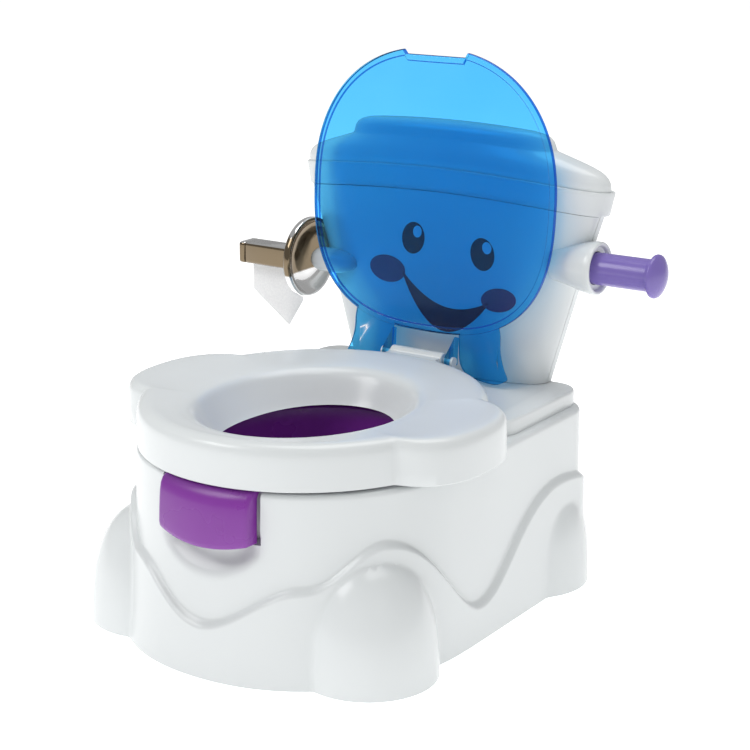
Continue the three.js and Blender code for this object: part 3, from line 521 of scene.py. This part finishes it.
def lid_loop(count=360):
    turn = np.arange(count) * TAU / count
    near_notch = 0.235
    pull = 0.55 * near_notch * (np.exp(-((turn - near_notch) / 0.12) ** 2) * (near_notch - turn) / near_notch)
    turn = turn + pull
    step_x, step_z = np.sin(turn), np.cos(turn)
    zero = np.zeros(count)
    far = reach(lid_outline, zero, zero + LID_CENTRE_UP, step_x, step_z)
    return step_x, step_z, far


def lid_panel():
    step_x, step_z, far = lid_loop()

    def row(inset, y):
        t = far - inset
        return np.column_stack((t * step_x, np.full(len(t), y), LID_CENTRE_UP + t * step_z))

    levels = [(60, LID_BACK), (2.4, LID_BACK), (0.6, LID_BACK - 0.4), (0, LID_BACK - 1.2),
              (0, LID_FRONT + 1.2),
              (0.5, LID_FRONT + 0.4), (1.4, LID_FRONT), (3.6, LID_FRONT), (4.6, LID_FRONT + 0.4),
              (5.1, LID_FRONT + 1), (5.6, LID_RECESS - 0.3), (6.4, LID_RECESS), (60, LID_RECESS)]
    rows = [row(*level) for level in levels]
    return Build().grid([lean(r) for r in rows])


def leg_outline(side):
    points = [(30, 42), (31, 10), (32, -2), (38, -11), (54, -14.5), (67, -15), (76, -10), (70.5, 1),
              (67.5, 12),
              (67.5, 26), (60, 46)]
    radii = [3, 6, 8, 10, 8, 5, 2.5, 12, 12, 10, 3]
    return rounded([(side * x, z) for x, z in points], radii, 5)


def leg_plates():
    build = Build()
    for side in (1, -1):
        def place(row):
            return lean(np.column_stack((row[:, 0], row[:, 2], row[:, 1])))
        levels = [(LID_RECESS, 0.5), (LID_RECESS + 0.5, 0), (LID_BACK - 0.5, 0), (LID_BACK, 0.5)]
        build.prism(leg_outline(side), levels, place)
    return build


def leg_cheeks():
    outline = rounded([(-6, 0), (-4.2, -4.4), (0, -6.2), (4.2, -4.4), (9.6, -4), (9.6, 19), (4, 13),
                       (-5.4, 4)],
                      [3, 3, 3, 2, 1, 2, 4, 4], 5)
    build = Build()
    for x in (27, -31, 62, -66):
        def place(row, x=x):
            return lean(np.column_stack((x + row[:, 2], row[:, 0], row[:, 1])))
        build.prism(outline, [(0, 0.4), (0.4, 0), (3.6, 0), (4, 0.4)], place)
    return build


def lid_piece(look, edge_look):
    panel = lid_panel().done("lid_panel", look, sharp=40)
    panel.data.materials.append(edge_look)
    for face in panel.data.polygons:
        if abs(face.normal.y) < 0.75 and max(face.center.x ** 2, (face.center.z - 0.29) ** 2) > 0.0025:
            face.material_index = 1
    parts = [leg_plates().done("lid_legs", look), leg_cheeks().done("lid_cheeks", look)]
    for part in parts:
        union = panel.modifiers.new("union", "BOOLEAN")
        union.operation = "UNION"
        union.solver = "EXACT"
        union.object = part
    bake_modifiers(panel)
    for part in parts:
        bpy.data.objects.remove(part)
    panel.data.shade_smooth()
    panel.data.set_sharp_from_angle(angle=math.radians(40))
    weighted = panel.modifiers.new("weighted", "WEIGHTED_NORMAL")
    weighted.keep_sharp = True
    bake_modifiers(panel)
    return panel


def bake_modifiers(piece):
    """Writes a piece's modifiers into its mesh."""
    bpy.context.view_layer.update()
    evaluated = piece.evaluated_get(bpy.context.evaluated_depsgraph_get())
    mesh = bpy.data.meshes.new_from_object(evaluated)
    piece.modifiers.clear()
    piece.data = mesh


# ---------- cistern ----------
def tank_outline(x, y, half_width, front_y, rear_y):
    power, corner = 2.7, 4
    depth = rear_y - corner - front_y
    ahead = np.maximum(rear_y - corner - y, 0)
    bow = (((np.abs(x) / half_width) ** power + (ahead / depth) ** power) ** (1 / power) - 1) * depth
    rear = np.hypot(np.maximum(np.abs(x) - half_width + corner, 0), y - rear_y + corner) - corner
    return np.where(y > rear_y - corner, rear, bow)


def tank_loop(half_width, front_y, rear_y, height, drop, count=220):
    centre_y = (front_y + rear_y) / 2
    turn = np.arange(count) * TAU / count
    angle = np.arctan2(half_width * np.sin(turn), (rear_y - centre_y) * np.cos(turn))
    step_x, step_y = np.sin(angle), -np.cos(angle)
    zero = np.zeros(count)
    t = reach(lambda x, y: tank_outline(x, y, half_width, front_y, rear_y), zero, zero + centre_y, step_x,
              step_y)
    x = t * step_x
    sag = COVER_DROP * (x / COVER_HALF_WIDTH) ** 2 * drop
    return np.column_stack((x, centre_y + t * step_y, height - sag))


def tank_half(share):
    return TANK_HALF_FOOT + (TANK_HALF_TOP - TANK_HALF_FOOT) * share + 2 * share * (1 - share)


def front_shell_piece(look):
    """The cistern's front shell, open at the back where it meets the rear shell."""
    rows = []
    for share in np.linspace(0, 1, 15):
        height = TANK_FOOT_Z + (TANK_TOP_Z - TANK_FOOT_Z) * share
        drop = max(0.0, (share - 0.5) * 2)
        outer = tank_loop(tank_half(share), TANK_FRONT_Y, TANK_REAR_Y, height, drop)
        inner = tank_loop(tank_half(share) - TANK_WALL, TANK_FRONT_Y + TANK_WALL, TANK_REAR_Y - TANK_WALL,
                          height, drop)
        rows.append(np.vstack((front_part(outer), front_part(inner)[::-1])))
    build = Build().grid(rows)
    floor = front_part(tank_loop(tank_half(0) - 1, TANK_FRONT_Y + 1, TANK_REAR_Y - 1, 0, 0))[:, :2]
    build.prism(floor, [(TANK_FOOT_Z + 0.1, 0), (TANK_FOOT_Z + 3, 0)])
    return build.done("cistern_front", look, sharp=35)


def front_part(loop, count=150):
    """The stretch of a loop in front of the split, evenly spaced from left to right."""
    loop = np.roll(loop, len(loop) // 2, axis=0)
    keep = loop[loop[:, 1] < TANK_SPLIT_Y - 0.2]
    order = np.argsort(np.arctan2(keep[:, 0], -(keep[:, 1] - TANK_REAR_Y)))
    keep = keep[order]
    first, last = keep[0].copy(), keep[-1].copy()
    first[1] = last[1] = TANK_SPLIT_Y - 0.15
    keep = np.vstack((first, keep, last))
    walked = np.concatenate(([0], np.cumsum(np.linalg.norm(np.diff(keep, axis=0), axis=1))))
    want = np.linspace(0, walked[-1], count)
    return np.column_stack([np.interp(want, walked, keep[:, k]) for k in range(3)])


def cover_piece(look):
    levels = [(-1.1, 135, 135.8, 168), (-0.9, 136.4, 134.6, 168.6), (-0.3, 137, 134.1, 169),
              (4, 137.8, 133.8, 169.3),
              (15, 140, 133.1, 170), (17, 140.4, 133, 170), (17.7, 140.2, 133.3, 169.8),
              (18, 139.4, 133.9, 169.4),
              (17.6, 138.4, 134.9, 168.8), (16.6, 137.8, 135.7, 168.4), (16.4, 137.4, 136.2, 168),
              (17.4, 137.4, 136.4, 167.9), (20, 137.8, 136, 167.9), (24, 137.3, 136.3, 167.6),
              (27, 135.6, 136.8, 167.3), (29.4, 132.8, 137.3, 167), (31.2, 129, 137.7, 166.8),
              (33, 123, 138.2, 166.5), (35, 114.5, 138.8, 166.2), (37, 105, 139.3, 165.8),
              (38.8, 96.5, 139.8, 165.5), (39.6, 93.5, 140, 165.3), (40.4, 92.2, 140.2, 165.2),
              (43, 91.4, 140.5, 165), (46.5, 90, 141, 164.6), (49.3, 87.5, 142, 163.6),
              (51.3, 83, 143.6, 162),
              (52.5, 77, 146, 160), (53, 67, 149, 157)]
    base = TANK_TOP_Z + COVER_SEAM
    outer = [tank_loop(half, front, rear, base + up, 1) for up, half, front, rear in levels]
    hollow = [(33, 112, 142, 163), (16, 132, 138, 166), (-0.6, 133, 137.5, 166.3), (-1.1, 133.6, 137, 166.8)]
    inner = [tank_loop(half, front, rear, base + up, 1) for up, half, front, rear in hollow]
    return Build().grid(inner + outer).done("cistern_lid", look, sharp=40)


def collar_piece(look):
    """The socket that the flush plunger slides in; it fairs into the cistern's side."""
    profile = [(12.9, 100), (13.4, 100), (14.6, 108), (16.4, 116), (18.4, 123), (19.6, 128), (20.2, 131.4),
               (20.5, 133), (20.5, 136.4), (20.2, 137.4),
               (19.5, 138), (18.4, 138), (17.6, 137.5), (17, 136.4), (16.6, 134.8), (15, 134.2),
               (12.9, 134.2)]
    return Build().lathe(profile, along_x(FLUSH_Y, FLUSH_Z), closed=True).done("plunger_socket", look,
                                                                               sharp=40)


def spring_piece(look):
    """The plunger's return spring: round wire in four open turns, from the bridge to the shoulder."""
    low, high = (1000 * np.array(corner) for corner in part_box("plunger_spring"))
    wire, turns, steps, sides = 0.7, 4, 96, 10
    coil = (high[1] - low[1]) / 2 - wire
    centre = (low + high) / 2
    build = Build()
    for step in range(steps + 1):
        share = step / steps
        turn = TAU * turns * share
        out = np.array([0, math.cos(turn), math.sin(turn)])
        x = low[0] + wire + (high[0] - low[0] - 2 * wire) * share
        middle = np.array([x, centre[1], centre[2]]) + coil * out
        for side in range(sides):
            around = TAU * side / sides
            offset = math.cos(around) * out + math.sin(around) * np.array([1, 0, 0])
            build.points.append((middle + wire * offset).tolist())
    for step in range(steps):
        for side in range(sides):
            a, b = step * sides + side, step * sides + (side + 1) % sides
            build.faces.append((a, b, b + sides, a + sides))
    build.faces.append(tuple(range(sides))[::-1])
    build.faces.append(tuple(steps * sides + side for side in range(sides)))
    return build.done("return_spring", look, sharp=50)


def plunger_piece(look):
    profile = [(0.4, 76), (4, 76), (4, 104), (12.4, 104), (12.4, 179), (12.5, 180.6), (12.9, 181.6),
               (13.8, 182.2), (15.2, 182.5), (16.2, 182.9), (16.6, 183.7), (16.6, 184.8), (16.2, 185.8),
               (15.4, 186.6), (14, 187.6), (12, 188.7), (9, 190.1), (6, 191.1), (3, 191.8), (0.4, 192)]
    return Build().lathe(profile, along_x(FLUSH_Y, FLUSH_Z)).done("flush_button", look, sharp=40)


# ---------- paper holder ----------
def hub_piece(look):
    """The boss that carries the disc; its inner end is rounded where it rises out of the cistern."""
    dome = [(HUB_RADIUS * math.sin(turn), HUB_SHOULDER_X - HUB_DOME_LENGTH * math.cos(turn))
            for turn in np.linspace(0.04, math.pi / 2, 14)]
    profile = dome + [(HUB_RADIUS, 112), (9.8, 114), (9, 116.4), (7.6, 118.6), (6.4, 120), (5, 121),
                      (0.4, 121)]
    return Build().lathe(profile, along_x(HOLDER_Y, HOLDER_Z, -1)).done("holder_boss", look, sharp=40)


def disc_piece(look):
    """A dished end disc: the hollow faces the cistern."""
    profile = [(0.4, 129.6), (14, 129.4), (20, 128.8), (25, 127.4), (28.4, 125.4), (30, 123.8), (30.8, 123),
               (31.8, 122.7), (32.9, 123), (33.5, 124), (33.5, 127), (33, 128.4), (31.6, 129.9), (29, 131.2),
               (24, 132.6), (16, 133.7), (0.4, 134)]
    return Build().lathe(profile, along_x(HOLDER_Y, HOLDER_Z, -1), segments=128).done("holder_dish", look,
                                                                                      sharp=50)


def bar_piece(look):
    outline = rounded([(HOLDER_Y - 10.5, BAR_Z - 9), (HOLDER_Y + 10.5, BAR_Z - 9),
                       (HOLDER_Y + 10.5, BAR_Z + 9),
                       (HOLDER_Y - 10.5, BAR_Z + 9)], 3, 6)

    def place(row):
        return np.column_stack((-row[:, 2], row[:, 0], row[:, 1]))

    build = Build()
    build.prism(outline, [(133.6, 1), (134.6, 0), (184.6, 0), (185.2, 0.5), (185.6, 1.4)], place)
    build.prism(outline, [(185, 1.6), (185.6, 1.6), (186, 0.4), (186.6, 0), (190.6, 0), (191.4, 0.4),
                          (191.9, 1.2),
                          (192, 2.4)], place)
    return build.done("holder_rail", look, sharp=40)


def paper_piece(look):
    """The loose end of the paper, folded back at both corners to a point."""
    top = BAR_Z - 9.1
    left, right = -187.0, -135.0
    tip_x, tip_z = -146.0, top - 50.0
    count = 25
    rows = []
    for v in np.linspace(0, 1, count):
        row = []
        for u in np.linspace(0, 1, count):
            x = left + (right - left) * u
            low = tip_z + (0.62 * (tip_x - x) if x < tip_x else 2.0 * (x - tip_x))
            low = min(low, top - 12)
            z = top + (low - top) * v
            away = (tip_x - x) / (tip_x - left) if x < tip_x else (x - tip_x) / (right - tip_x)
            row.append((x, HOLDER_Y + 3 - 5 * v * (1 - away), z))
        rows.append(row)
    rows = np.array(rows)
    build = Build()
    front = rows.reshape(-1, 3)
    back = front + np.array([0, 0.35, 0])
    build.points = np.vstack((front, back)).tolist()
    half = len(front)
    for r in range(count - 1):
        for c in range(count - 1):
            a, b = r * count + c, (r + 1) * count + c
            build.faces.append((a, a + 1, b + 1, b))
            build.faces.append((half + a, half + b, half + b + 1, half + a + 1))
    rim = ([(0, c) for c in range(count)] + [(r, count - 1) for r in range(1, count)]
           + [(count - 1, c) for c in range(count - 2, -1, -1)] + [(r, 0) for r in range(count - 2, 0, -1)])
    flat = [r * count + c for r, c in rim]
    for i, a in enumerate(flat):
        b = flat[(i + 1) % len(flat)]
        build.faces.append((a, b, half + b, half + a))
    return build.done("paper_end", look, sharp=22)


# ---------- face ----------
def tank_front_y(x, z):
    """The cistern's front surface at a place seen from the front."""
    share = np.clip((z - TANK_FOOT_Z) / (TANK_TOP_Z - TANK_FOOT_Z), 0, 1)
    half = tank_half(share)
    depth = TANK_REAR_Y - 4 - TANK_FRONT_Y
    return TANK_REAR_Y - 4 - depth * (1 - (np.abs(x) / half) ** 2.7) ** (1 / 2.7)


def decal(name, look, outline, raised=0.25):
    """A thin printed patch that follows the cistern's front."""
    outline = np.asarray(outline, float)
    centre = outline.mean(axis=0)
    build = Build()
    rows = []
    for lift, shares in ((raised, (0.0, 0.3, 0.6, 0.85, 1.0)), (-0.3, (1.0, 0.5, 0.0))):
        for share in shares:
            flat = centre + (outline - centre) * max(share, 0.01)
            y = tank_front_y(flat[:, 0], flat[:, 1]) - lift
            rows.append(np.column_stack((flat[:, 0], y, flat[:, 1])))
    build.grid(rows)
    piece = build.done(name, look, sharp=60)
    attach(piece, "chair")
    return piece


def oval(x, z, half_width, half_height, tilt):
    turn = np.arange(48) * TAU / 48
    flat = np.column_stack((half_width * np.cos(turn), half_height * np.sin(turn)))
    angle = math.radians(tilt)
    spin = np.array([[math.cos(angle), -math.sin(angle)], [math.sin(angle), math.cos(angle)]])
    return flat @ spin.T + np.array([x, z])


def smile():
    """A crescent: the lower edge hangs further than the upper one."""
    left, right = np.array([-32.0, 231.0]), np.array([50.0, 215.0])
    share = np.linspace(0, 1, 40)
    line = left + (right - left) * share[:, None]
    droop = np.sin(np.pi * share) ** 0.8
    lower = line - np.column_stack((0 * share + 3 * droop, 38 * droop))
    upper = line - np.column_stack((0 * share + 1 * droop, 18 * droop))
    return np.vstack((lower, upper[::-1][1:-1]))


def strip_decal(name, look, outline, raised=0.25):
    """A long patch: pairs of points across it make narrow quads that follow the cistern's front."""
    count = len(outline) // 2 + 1
    lower = outline[:count]
    upper = np.vstack((outline[:1], outline[count:][::-1], outline[count - 1:count]))
    rows = []
    for lift, order in ((raised, (0, 0.25, 0.5, 0.75, 1)), (-0.3, (1, 0.5, 0))):
        for share in order:
            flat = lower * (1 - share) + upper * share
            y = tank_front_y(flat[:, 0], flat[:, 1]) - lift
            rows.append(np.column_stack((flat[:, 0], y, flat[:, 1])))
    build = Build()
    rows = np.array(rows)
    build.points = rows.reshape(-1, 3).tolist()
    total = len(rows)
    for r in range(total):
        a, b = r * count, ((r + 1) % total) * count
        for c in range(count - 1):
            build.faces.append((a + c, a + c + 1, b + c + 1, b + c))
    piece = build.done(name, look, sharp=60)
    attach(piece, "chair")
    return piece


# ---------- materials ----------
def new_material(name):
    material = bpy.data.materials.new(name)
    material.use_nodes = True
    nodes = material.node_tree.nodes
    return material, nodes, material.node_tree.links, nodes["Principled BSDF"]


def noise(nodes, links, scale, detail=3.0, stretch=(1, 1, 1)):
    place = nodes.new("ShaderNodeTexCoord")
    fit = nodes.new("ShaderNodeMapping")
    fit.inputs["Scale"].default_value = stretch
    texture = nodes.new("ShaderNodeTexNoise")
    texture.inputs["Scale"].default_value = scale
    texture.inputs["Detail"].default_value = detail
    links.new(place.outputs["Object"], fit.inputs["Vector"])
    links.new(fit.outputs["Vector"], texture.inputs["Vector"])
    return texture.outputs["Fac"]


def spread(nodes, links, value, low, high):
    """A noise value mapped to a range."""
    fit = nodes.new("ShaderNodeMapRange")
    fit.inputs["From Min"].default_value = 0.3
    fit.inputs["From Max"].default_value = 0.7
    fit.inputs["To Min"].default_value = low
    fit.inputs["To Max"].default_value = high
    links.new(value, fit.inputs["Value"])
    return fit.outputs["Result"]


def two_tone(nodes, links, value, first, second):
    ramp = nodes.new("ShaderNodeValToRGB")
    ramp.color_ramp.elements[0].position = 0.35
    ramp.color_ramp.elements[1].position = 0.65
    ramp.color_ramp.elements[0].color = (*first, 1)
    ramp.color_ramp.elements[1].color = (*second, 1)
    links.new(value, ramp.inputs["Fac"])
    return ramp.outputs["Color"]


def bump(nodes, links, height, strength, distance):
    raised = nodes.new("ShaderNodeBump")
    raised.inputs["Strength"].default_value = strength
    raised.inputs["Distance"].default_value = distance
    links.new(height, raised.inputs["Height"])
    return raised.outputs["Normal"]


def moulded(name, colour, shade, gloss=(0.2, 0.3), grain=900, depth=0.00004, metallic=0.0):
    """Moulded plastic: faint colour drift, uneven gloss and a fine skin texture."""
    material, nodes, links, shader = new_material(name)
    links.new(two_tone(nodes, links, noise(nodes, links, 9), colour, shade), shader.inputs["Base Color"])
    links.new(spread(nodes, links, noise(nodes, links, 26), *gloss), shader.inputs["Roughness"])
    links.new(bump(nodes, links, noise(nodes, links, grain, 2), 0.12, depth), shader.inputs["Normal"])
    shader.inputs["Metallic"].default_value = metallic
    shader.inputs["IOR"].default_value = 1.5
    return material


def plated_with_painted_reflection(name, painted_reflection_tone, bright):
    """Bright plating with a painted reflection: a warm brown tone is painted on its upper sides for brown
    surroundings reflected there, and bare bright metal is on top and below.
    """
    material, nodes, links, shader = new_material(name)
    place = nodes.new("ShaderNodeTexCoord")

    def height(source, low, high):
        split = nodes.new("ShaderNodeSeparateXYZ")
        fit = nodes.new("ShaderNodeMapRange")
        fit.inputs["From Min"].default_value = low
        fit.inputs["From Max"].default_value = high
        links.new(place.outputs[source], split.inputs["Vector"])
        links.new(split.outputs["Z"], fit.inputs["Value"])
        return fit.outputs["Result"]

    # Painted reflection: this mask picks the upper parts that don't face up, where a warm brown tone is
    # painted for brown surroundings reflected in the plating.
    both = nodes.new("ShaderNodeMath")
    both.operation = "MULTIPLY"
    links.new(height("Object", (HOLDER_Z - 14) * MM, (HOLDER_Z - 9) * MM), both.inputs[0])
    links.new(height("Normal", 0.75, 0.5), both.inputs[1])
    painted_reflection_share = nodes.new("ShaderNodeMath")
    painted_reflection_share.operation = "MULTIPLY"
    links.new(both.outputs["Value"], painted_reflection_share.inputs[0])
    links.new(spread(nodes, links, noise(nodes, links, 40), 0.9, 1.0), painted_reflection_share.inputs[1])
    # Painted reflection: where the mask is high, the bright metal turns to the warm brown tone.
    links.new(two_tone(nodes, links, painted_reflection_share.outputs["Value"], bright, painted_reflection_tone), shader.inputs["Base Color"])
    links.new(spread(nodes, links, noise(nodes, links, 26), 0.06, 0.14), shader.inputs["Roughness"])
    links.new(bump(nodes, links, noise(nodes, links, 900, 2), 0.1, 0.00001), shader.inputs["Normal"])
    shader.inputs["Metallic"].default_value = 1.0
    return material


def clear_blue(name, tint, deep, cloud):
    """Tinted see-through plastic: what is behind shows through a blue filter, under a clear gloss."""
    material, nodes, links, shader = new_material(name)
    nodes.remove(shader)
    output = nodes["Material Output"]
    through = nodes.new("ShaderNodeBsdfTransparent")
    links.new(two_tone(nodes, links, noise(nodes, links, 7), tint, deep), through.inputs["Color"])
    gloss = nodes.new("ShaderNodeBsdfGlossy")
    links.new(spread(nodes, links, noise(nodes, links, 18), 0.06, 0.14), gloss.inputs["Roughness"])
    links.new(bump(nodes, links, noise(nodes, links, 60, 2), 0.1, 0.0001), gloss.inputs["Normal"])
    body = nodes.new("ShaderNodeBsdfPrincipled")
    body.inputs["Base Color"].default_value = (0.0, 0.1, 0.5, 1)
    body.inputs["Roughness"].default_value = 0.3
    haze = nodes.new("ShaderNodeMixShader")
    haze.inputs["Fac"].default_value = cloud
    links.new(through.outputs["BSDF"], haze.inputs[1])
    links.new(body.outputs["BSDF"], haze.inputs[2])
    mirror = nodes.new("ShaderNodeFresnel")
    mirror.inputs["IOR"].default_value = 1.22
    mix = nodes.new("ShaderNodeMixShader")
    links.new(mirror.outputs["Fac"], mix.inputs["Fac"])
    links.new(haze.outputs["Shader"], mix.inputs[1])
    links.new(gloss.outputs["BSDF"], mix.inputs[2])
    links.new(mix.outputs["Shader"], output.inputs["Surface"])
    return material


def paper_look():
    material, nodes, links, shader = new_material("soft_paper")
    fibres = noise(nodes, links, 700, 6)
    links.new(two_tone(nodes, links, fibres, (0.86, 0.86, 0.87), (0.93, 0.93, 0.93)),
              shader.inputs["Base Color"])
    links.new(spread(nodes, links, fibres, 0.85, 1.0), shader.inputs["Roughness"])
    links.new(bump(nodes, links, fibres, 0.5, 0.0002), shader.inputs["Normal"])
    return material


# ---------- camera, light and floor ----------
def make_camera():
    azimuth, elevation, distance = math.radians(33.75), math.radians(15.74), 1.418
    target = Vector((0.018, 0.0235, 0.176))
    forward = Vector((-math.sin(azimuth) * math.cos(elevation), math.cos(azimuth) * math.cos(elevation),
                      -math.sin(elevation)))
    lens = bpy.data.cameras.new("camera")
    lens.lens = 91
    lens.sensor_width = 36
    camera = bpy.data.objects.new("camera", lens)
    bpy.context.scene.collection.objects.link(camera)
    camera.location = target - forward * distance
    roll = Matrix.Rotation(math.radians(0.18), 4, "Z")
    camera.rotation_euler = (forward.to_track_quat("-Z", "Y").to_matrix().to_4x4() @ roll).to_euler()
    bpy.context.scene.camera = camera


def area_light(name, place, target, size, power):
    data = bpy.data.lights.new(name, "AREA")
    data.shape = "RECTANGLE"
    data.size, data.size_y = size
    data.energy = power
    light = bpy.data.objects.new(name, data)
    bpy.context.scene.collection.objects.link(light)
    light.location = place
    light.rotation_euler = (Vector(target) - Vector(place)).to_track_quat("-Z", "Y").to_euler()
    return light


def make_studio():
    """A pale sky and floor. The sky is brighter to the eye than as a light, and the floor glows a little."""
    sky_light, sky_seen, floor_glow = 0.4, 1.1, 0.65
    world = bpy.data.worlds.new("studio")
    world.use_nodes = True
    sky = world.node_tree.nodes["Background"]
    sky.inputs["Color"].default_value = (1, 1, 1, 1)
    seen = world.node_tree.nodes.new("ShaderNodeLightPath")
    level = world.node_tree.nodes.new("ShaderNodeMapRange")
    level.inputs["To Min"].default_value = sky_light
    level.inputs["To Max"].default_value = sky_seen
    world.node_tree.links.new(seen.outputs["Is Camera Ray"], level.inputs["Value"])
    world.node_tree.links.new(level.outputs["Result"], sky.inputs["Strength"])
    bpy.context.scene.world = world
    bpy.context.scene.view_settings.view_transform = "Standard"
    area_light("key", (-0.9, -1.3, 1.6), (0, 0, 0.1), (0.9, 0.9), 12)
    area_light("fill", (1.6, -0.9, 0.9), (0, 0, 0.15), (0.5, 1.2), 0.5)
    area_light("top", (0.1, 0.3, 2.0), (0, 0, 0), (1.4, 1.4), 18)
    material, nodes, links, shader = new_material("pale_floor")
    links.new(two_tone(nodes, links, noise(nodes, links, 3), (0.93, 0.93, 0.93), (0.95, 0.95, 0.95)),
              shader.inputs["Base Color"])
    shader.inputs["Roughness"].default_value = 0.85
    shader.inputs["Specular IOR Level"].default_value = 0.2
    shader.inputs["Emission Color"].default_value = (1, 1, 1, 1)
    shader.inputs["Emission Strength"].default_value = floor_glow
    build = Build()
    outline = rounded([(-6000, -5000), (6000, -5000), (6000, 7000), (-6000, 7000)], 200)
    build.prism(outline, [(-20, 0), (0, 0)])
    floor = build.done("studio_floor", material)


# ---------- the chair ----------
make_camera()
make_studio()

WHITE = moulded("white_moulded", (0.735, 0.765, 0.77), (0.75, 0.78, 0.785), gloss=(0.2, 0.26))
PURPLE = moulded("purple_moulded", (0.2, 0.025, 0.3), (0.23, 0.035, 0.34), gloss=(0.24, 0.34))
LAVENDER = moulded("lavender_moulded", (0.2, 0.145, 0.46), (0.22, 0.16, 0.49), gloss=(0.18, 0.28))
BLUE = clear_blue("clear_blue_moulded", (0.3, 0.745, 1.0), (0.33, 0.77, 1.0), 0.02)
BLUE_EDGE = clear_blue("clear_blue_edge", (0.04, 0.24, 0.75), (0.05, 0.3, 0.8), 0.25)
# The brown tone on the plating's upper sides is a painted reflection of brown surroundings.
CHROME = plated_with_painted_reflection("plating_painted_reflection", (0.2, 0.155, 0.1), (0.8, 0.8, 0.8))
RUBBER = moulded("grey_grip_rubber", (0.07, 0.07, 0.075), (0.1, 0.1, 0.105), gloss=(0.65, 0.85), grain=1400)
ZINC = moulded("zinc_steel", (0.55, 0.56, 0.58), (0.66, 0.67, 0.68), gloss=(0.25, 0.45), metallic=1.0)
GREY = moulded("grey_moulded", (0.36, 0.37, 0.39), (0.42, 0.43, 0.45), gloss=(0.4, 0.55))
BLACK = moulded("black_moulded", (0.018, 0.018, 0.02), (0.03, 0.03, 0.032), gloss=(0.35, 0.55))
BOARD = moulded("board_lacquer", (0.01, 0.12, 0.04), (0.015, 0.17, 0.06), gloss=(0.25, 0.4))
SLEEVE = moulded("cell_sleeve", (0.2, 0.22, 0.25), (0.3, 0.32, 0.35), gloss=(0.2, 0.35), metallic=0.8)
INK = moulded("black_print", (0.008, 0.008, 0.012), (0.014, 0.014, 0.02), gloss=(0.3, 0.4))
WHITE_INK = moulded("white_print", (0.8, 0.8, 0.82), (0.86, 0.86, 0.88), gloss=(0.3, 0.4))
PINK_INK = moulded("pink_print", (0.72, 0.05, 0.1), (0.78, 0.07, 0.13), gloss=(0.3, 0.4))
RED_INK = moulded("red_print", (0.55, 0.01, 0.02), (0.62, 0.015, 0.03), gloss=(0.3, 0.4))

SLOT_LOOKS = {
    "white_plastic": WHITE, "purple_plastic": PURPLE, "lavender_plastic": LAVENDER,
    "clear_blue_plastic": BLUE,
    "grey_rubber": RUBBER, "grey_plastic": GREY, "black_plastic": BLACK, "board_green": BOARD,
    "zinc_steel": ZINC,
    "battery_steel": SLEEVE, "chrome_finish": CHROME,
}
for part in frame["record"]["subparts"]:
    look = SLOT_LOOKS.get(part["material_slot"])
    if look is not None:
        node = frame["nodes"][part["node"]]
        node.data.materials.clear()
        node.data.materials.append(look)

settle(base_piece(WHITE), "chair", "white_plastic", "base_shell")
settle(bowl_piece(PURPLE), "bowl", "purple_plastic", "bowl")
settle(grip_piece(PURPLE), "bowl", "purple_plastic")
settle(ring_piece(WHITE), "seat", "white_plastic", "seat_ring")
settle(lid_piece(BLUE, BLUE_EDGE), "lid", "clear_blue_plastic", "lid")
settle(front_shell_piece(WHITE), "chair", "white_plastic", "cistern_front_shell")
settle(cover_piece(WHITE), "chair", "white_plastic", "cistern_cover")
settle(collar_piece(WHITE), "chair", "white_plastic", "flush_collar")
settle(plunger_piece(LAVENDER), "plunger", "lavender_plastic", "flush_plunger")
spring = settle(spring_piece(ZINC), "chair", "zinc_steel", "plunger_spring")
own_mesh(spring)
settle(hub_piece(WHITE), "chair", "white_plastic", "holder_hub")
settle(disc_piece(CHROME), "chair", "chrome_finish", "holder_disc")
rail = settle(bar_piece(CHROME), "chair", "chrome_finish", "holder_bar")
paper = settle(paper_piece(paper_look()), "chair", "paper", "paper_sheet")

for label, x, z, tilt in (("left", -21, 257, -12), ("right", 42.5, 251, 8)):
    decal(f"face_eye_{label}", INK, oval(x, z, 10.5, 13, tilt))
    decal(f"face_glint_{label}", WHITE_INK, oval(x + 4, z + 5.5, 4, 4.8, tilt), 0.45)
for label, x, z, half, tilt in (("left", -46, 229, (17.5, 11), -2), ("right", 57, 216, (15, 9.5), 8)):
    decal(f"face_cheek_{label}", PINK_INK, oval(x, z, *half, tilt))
strip_decal("face_smile", RED_INK, smile())
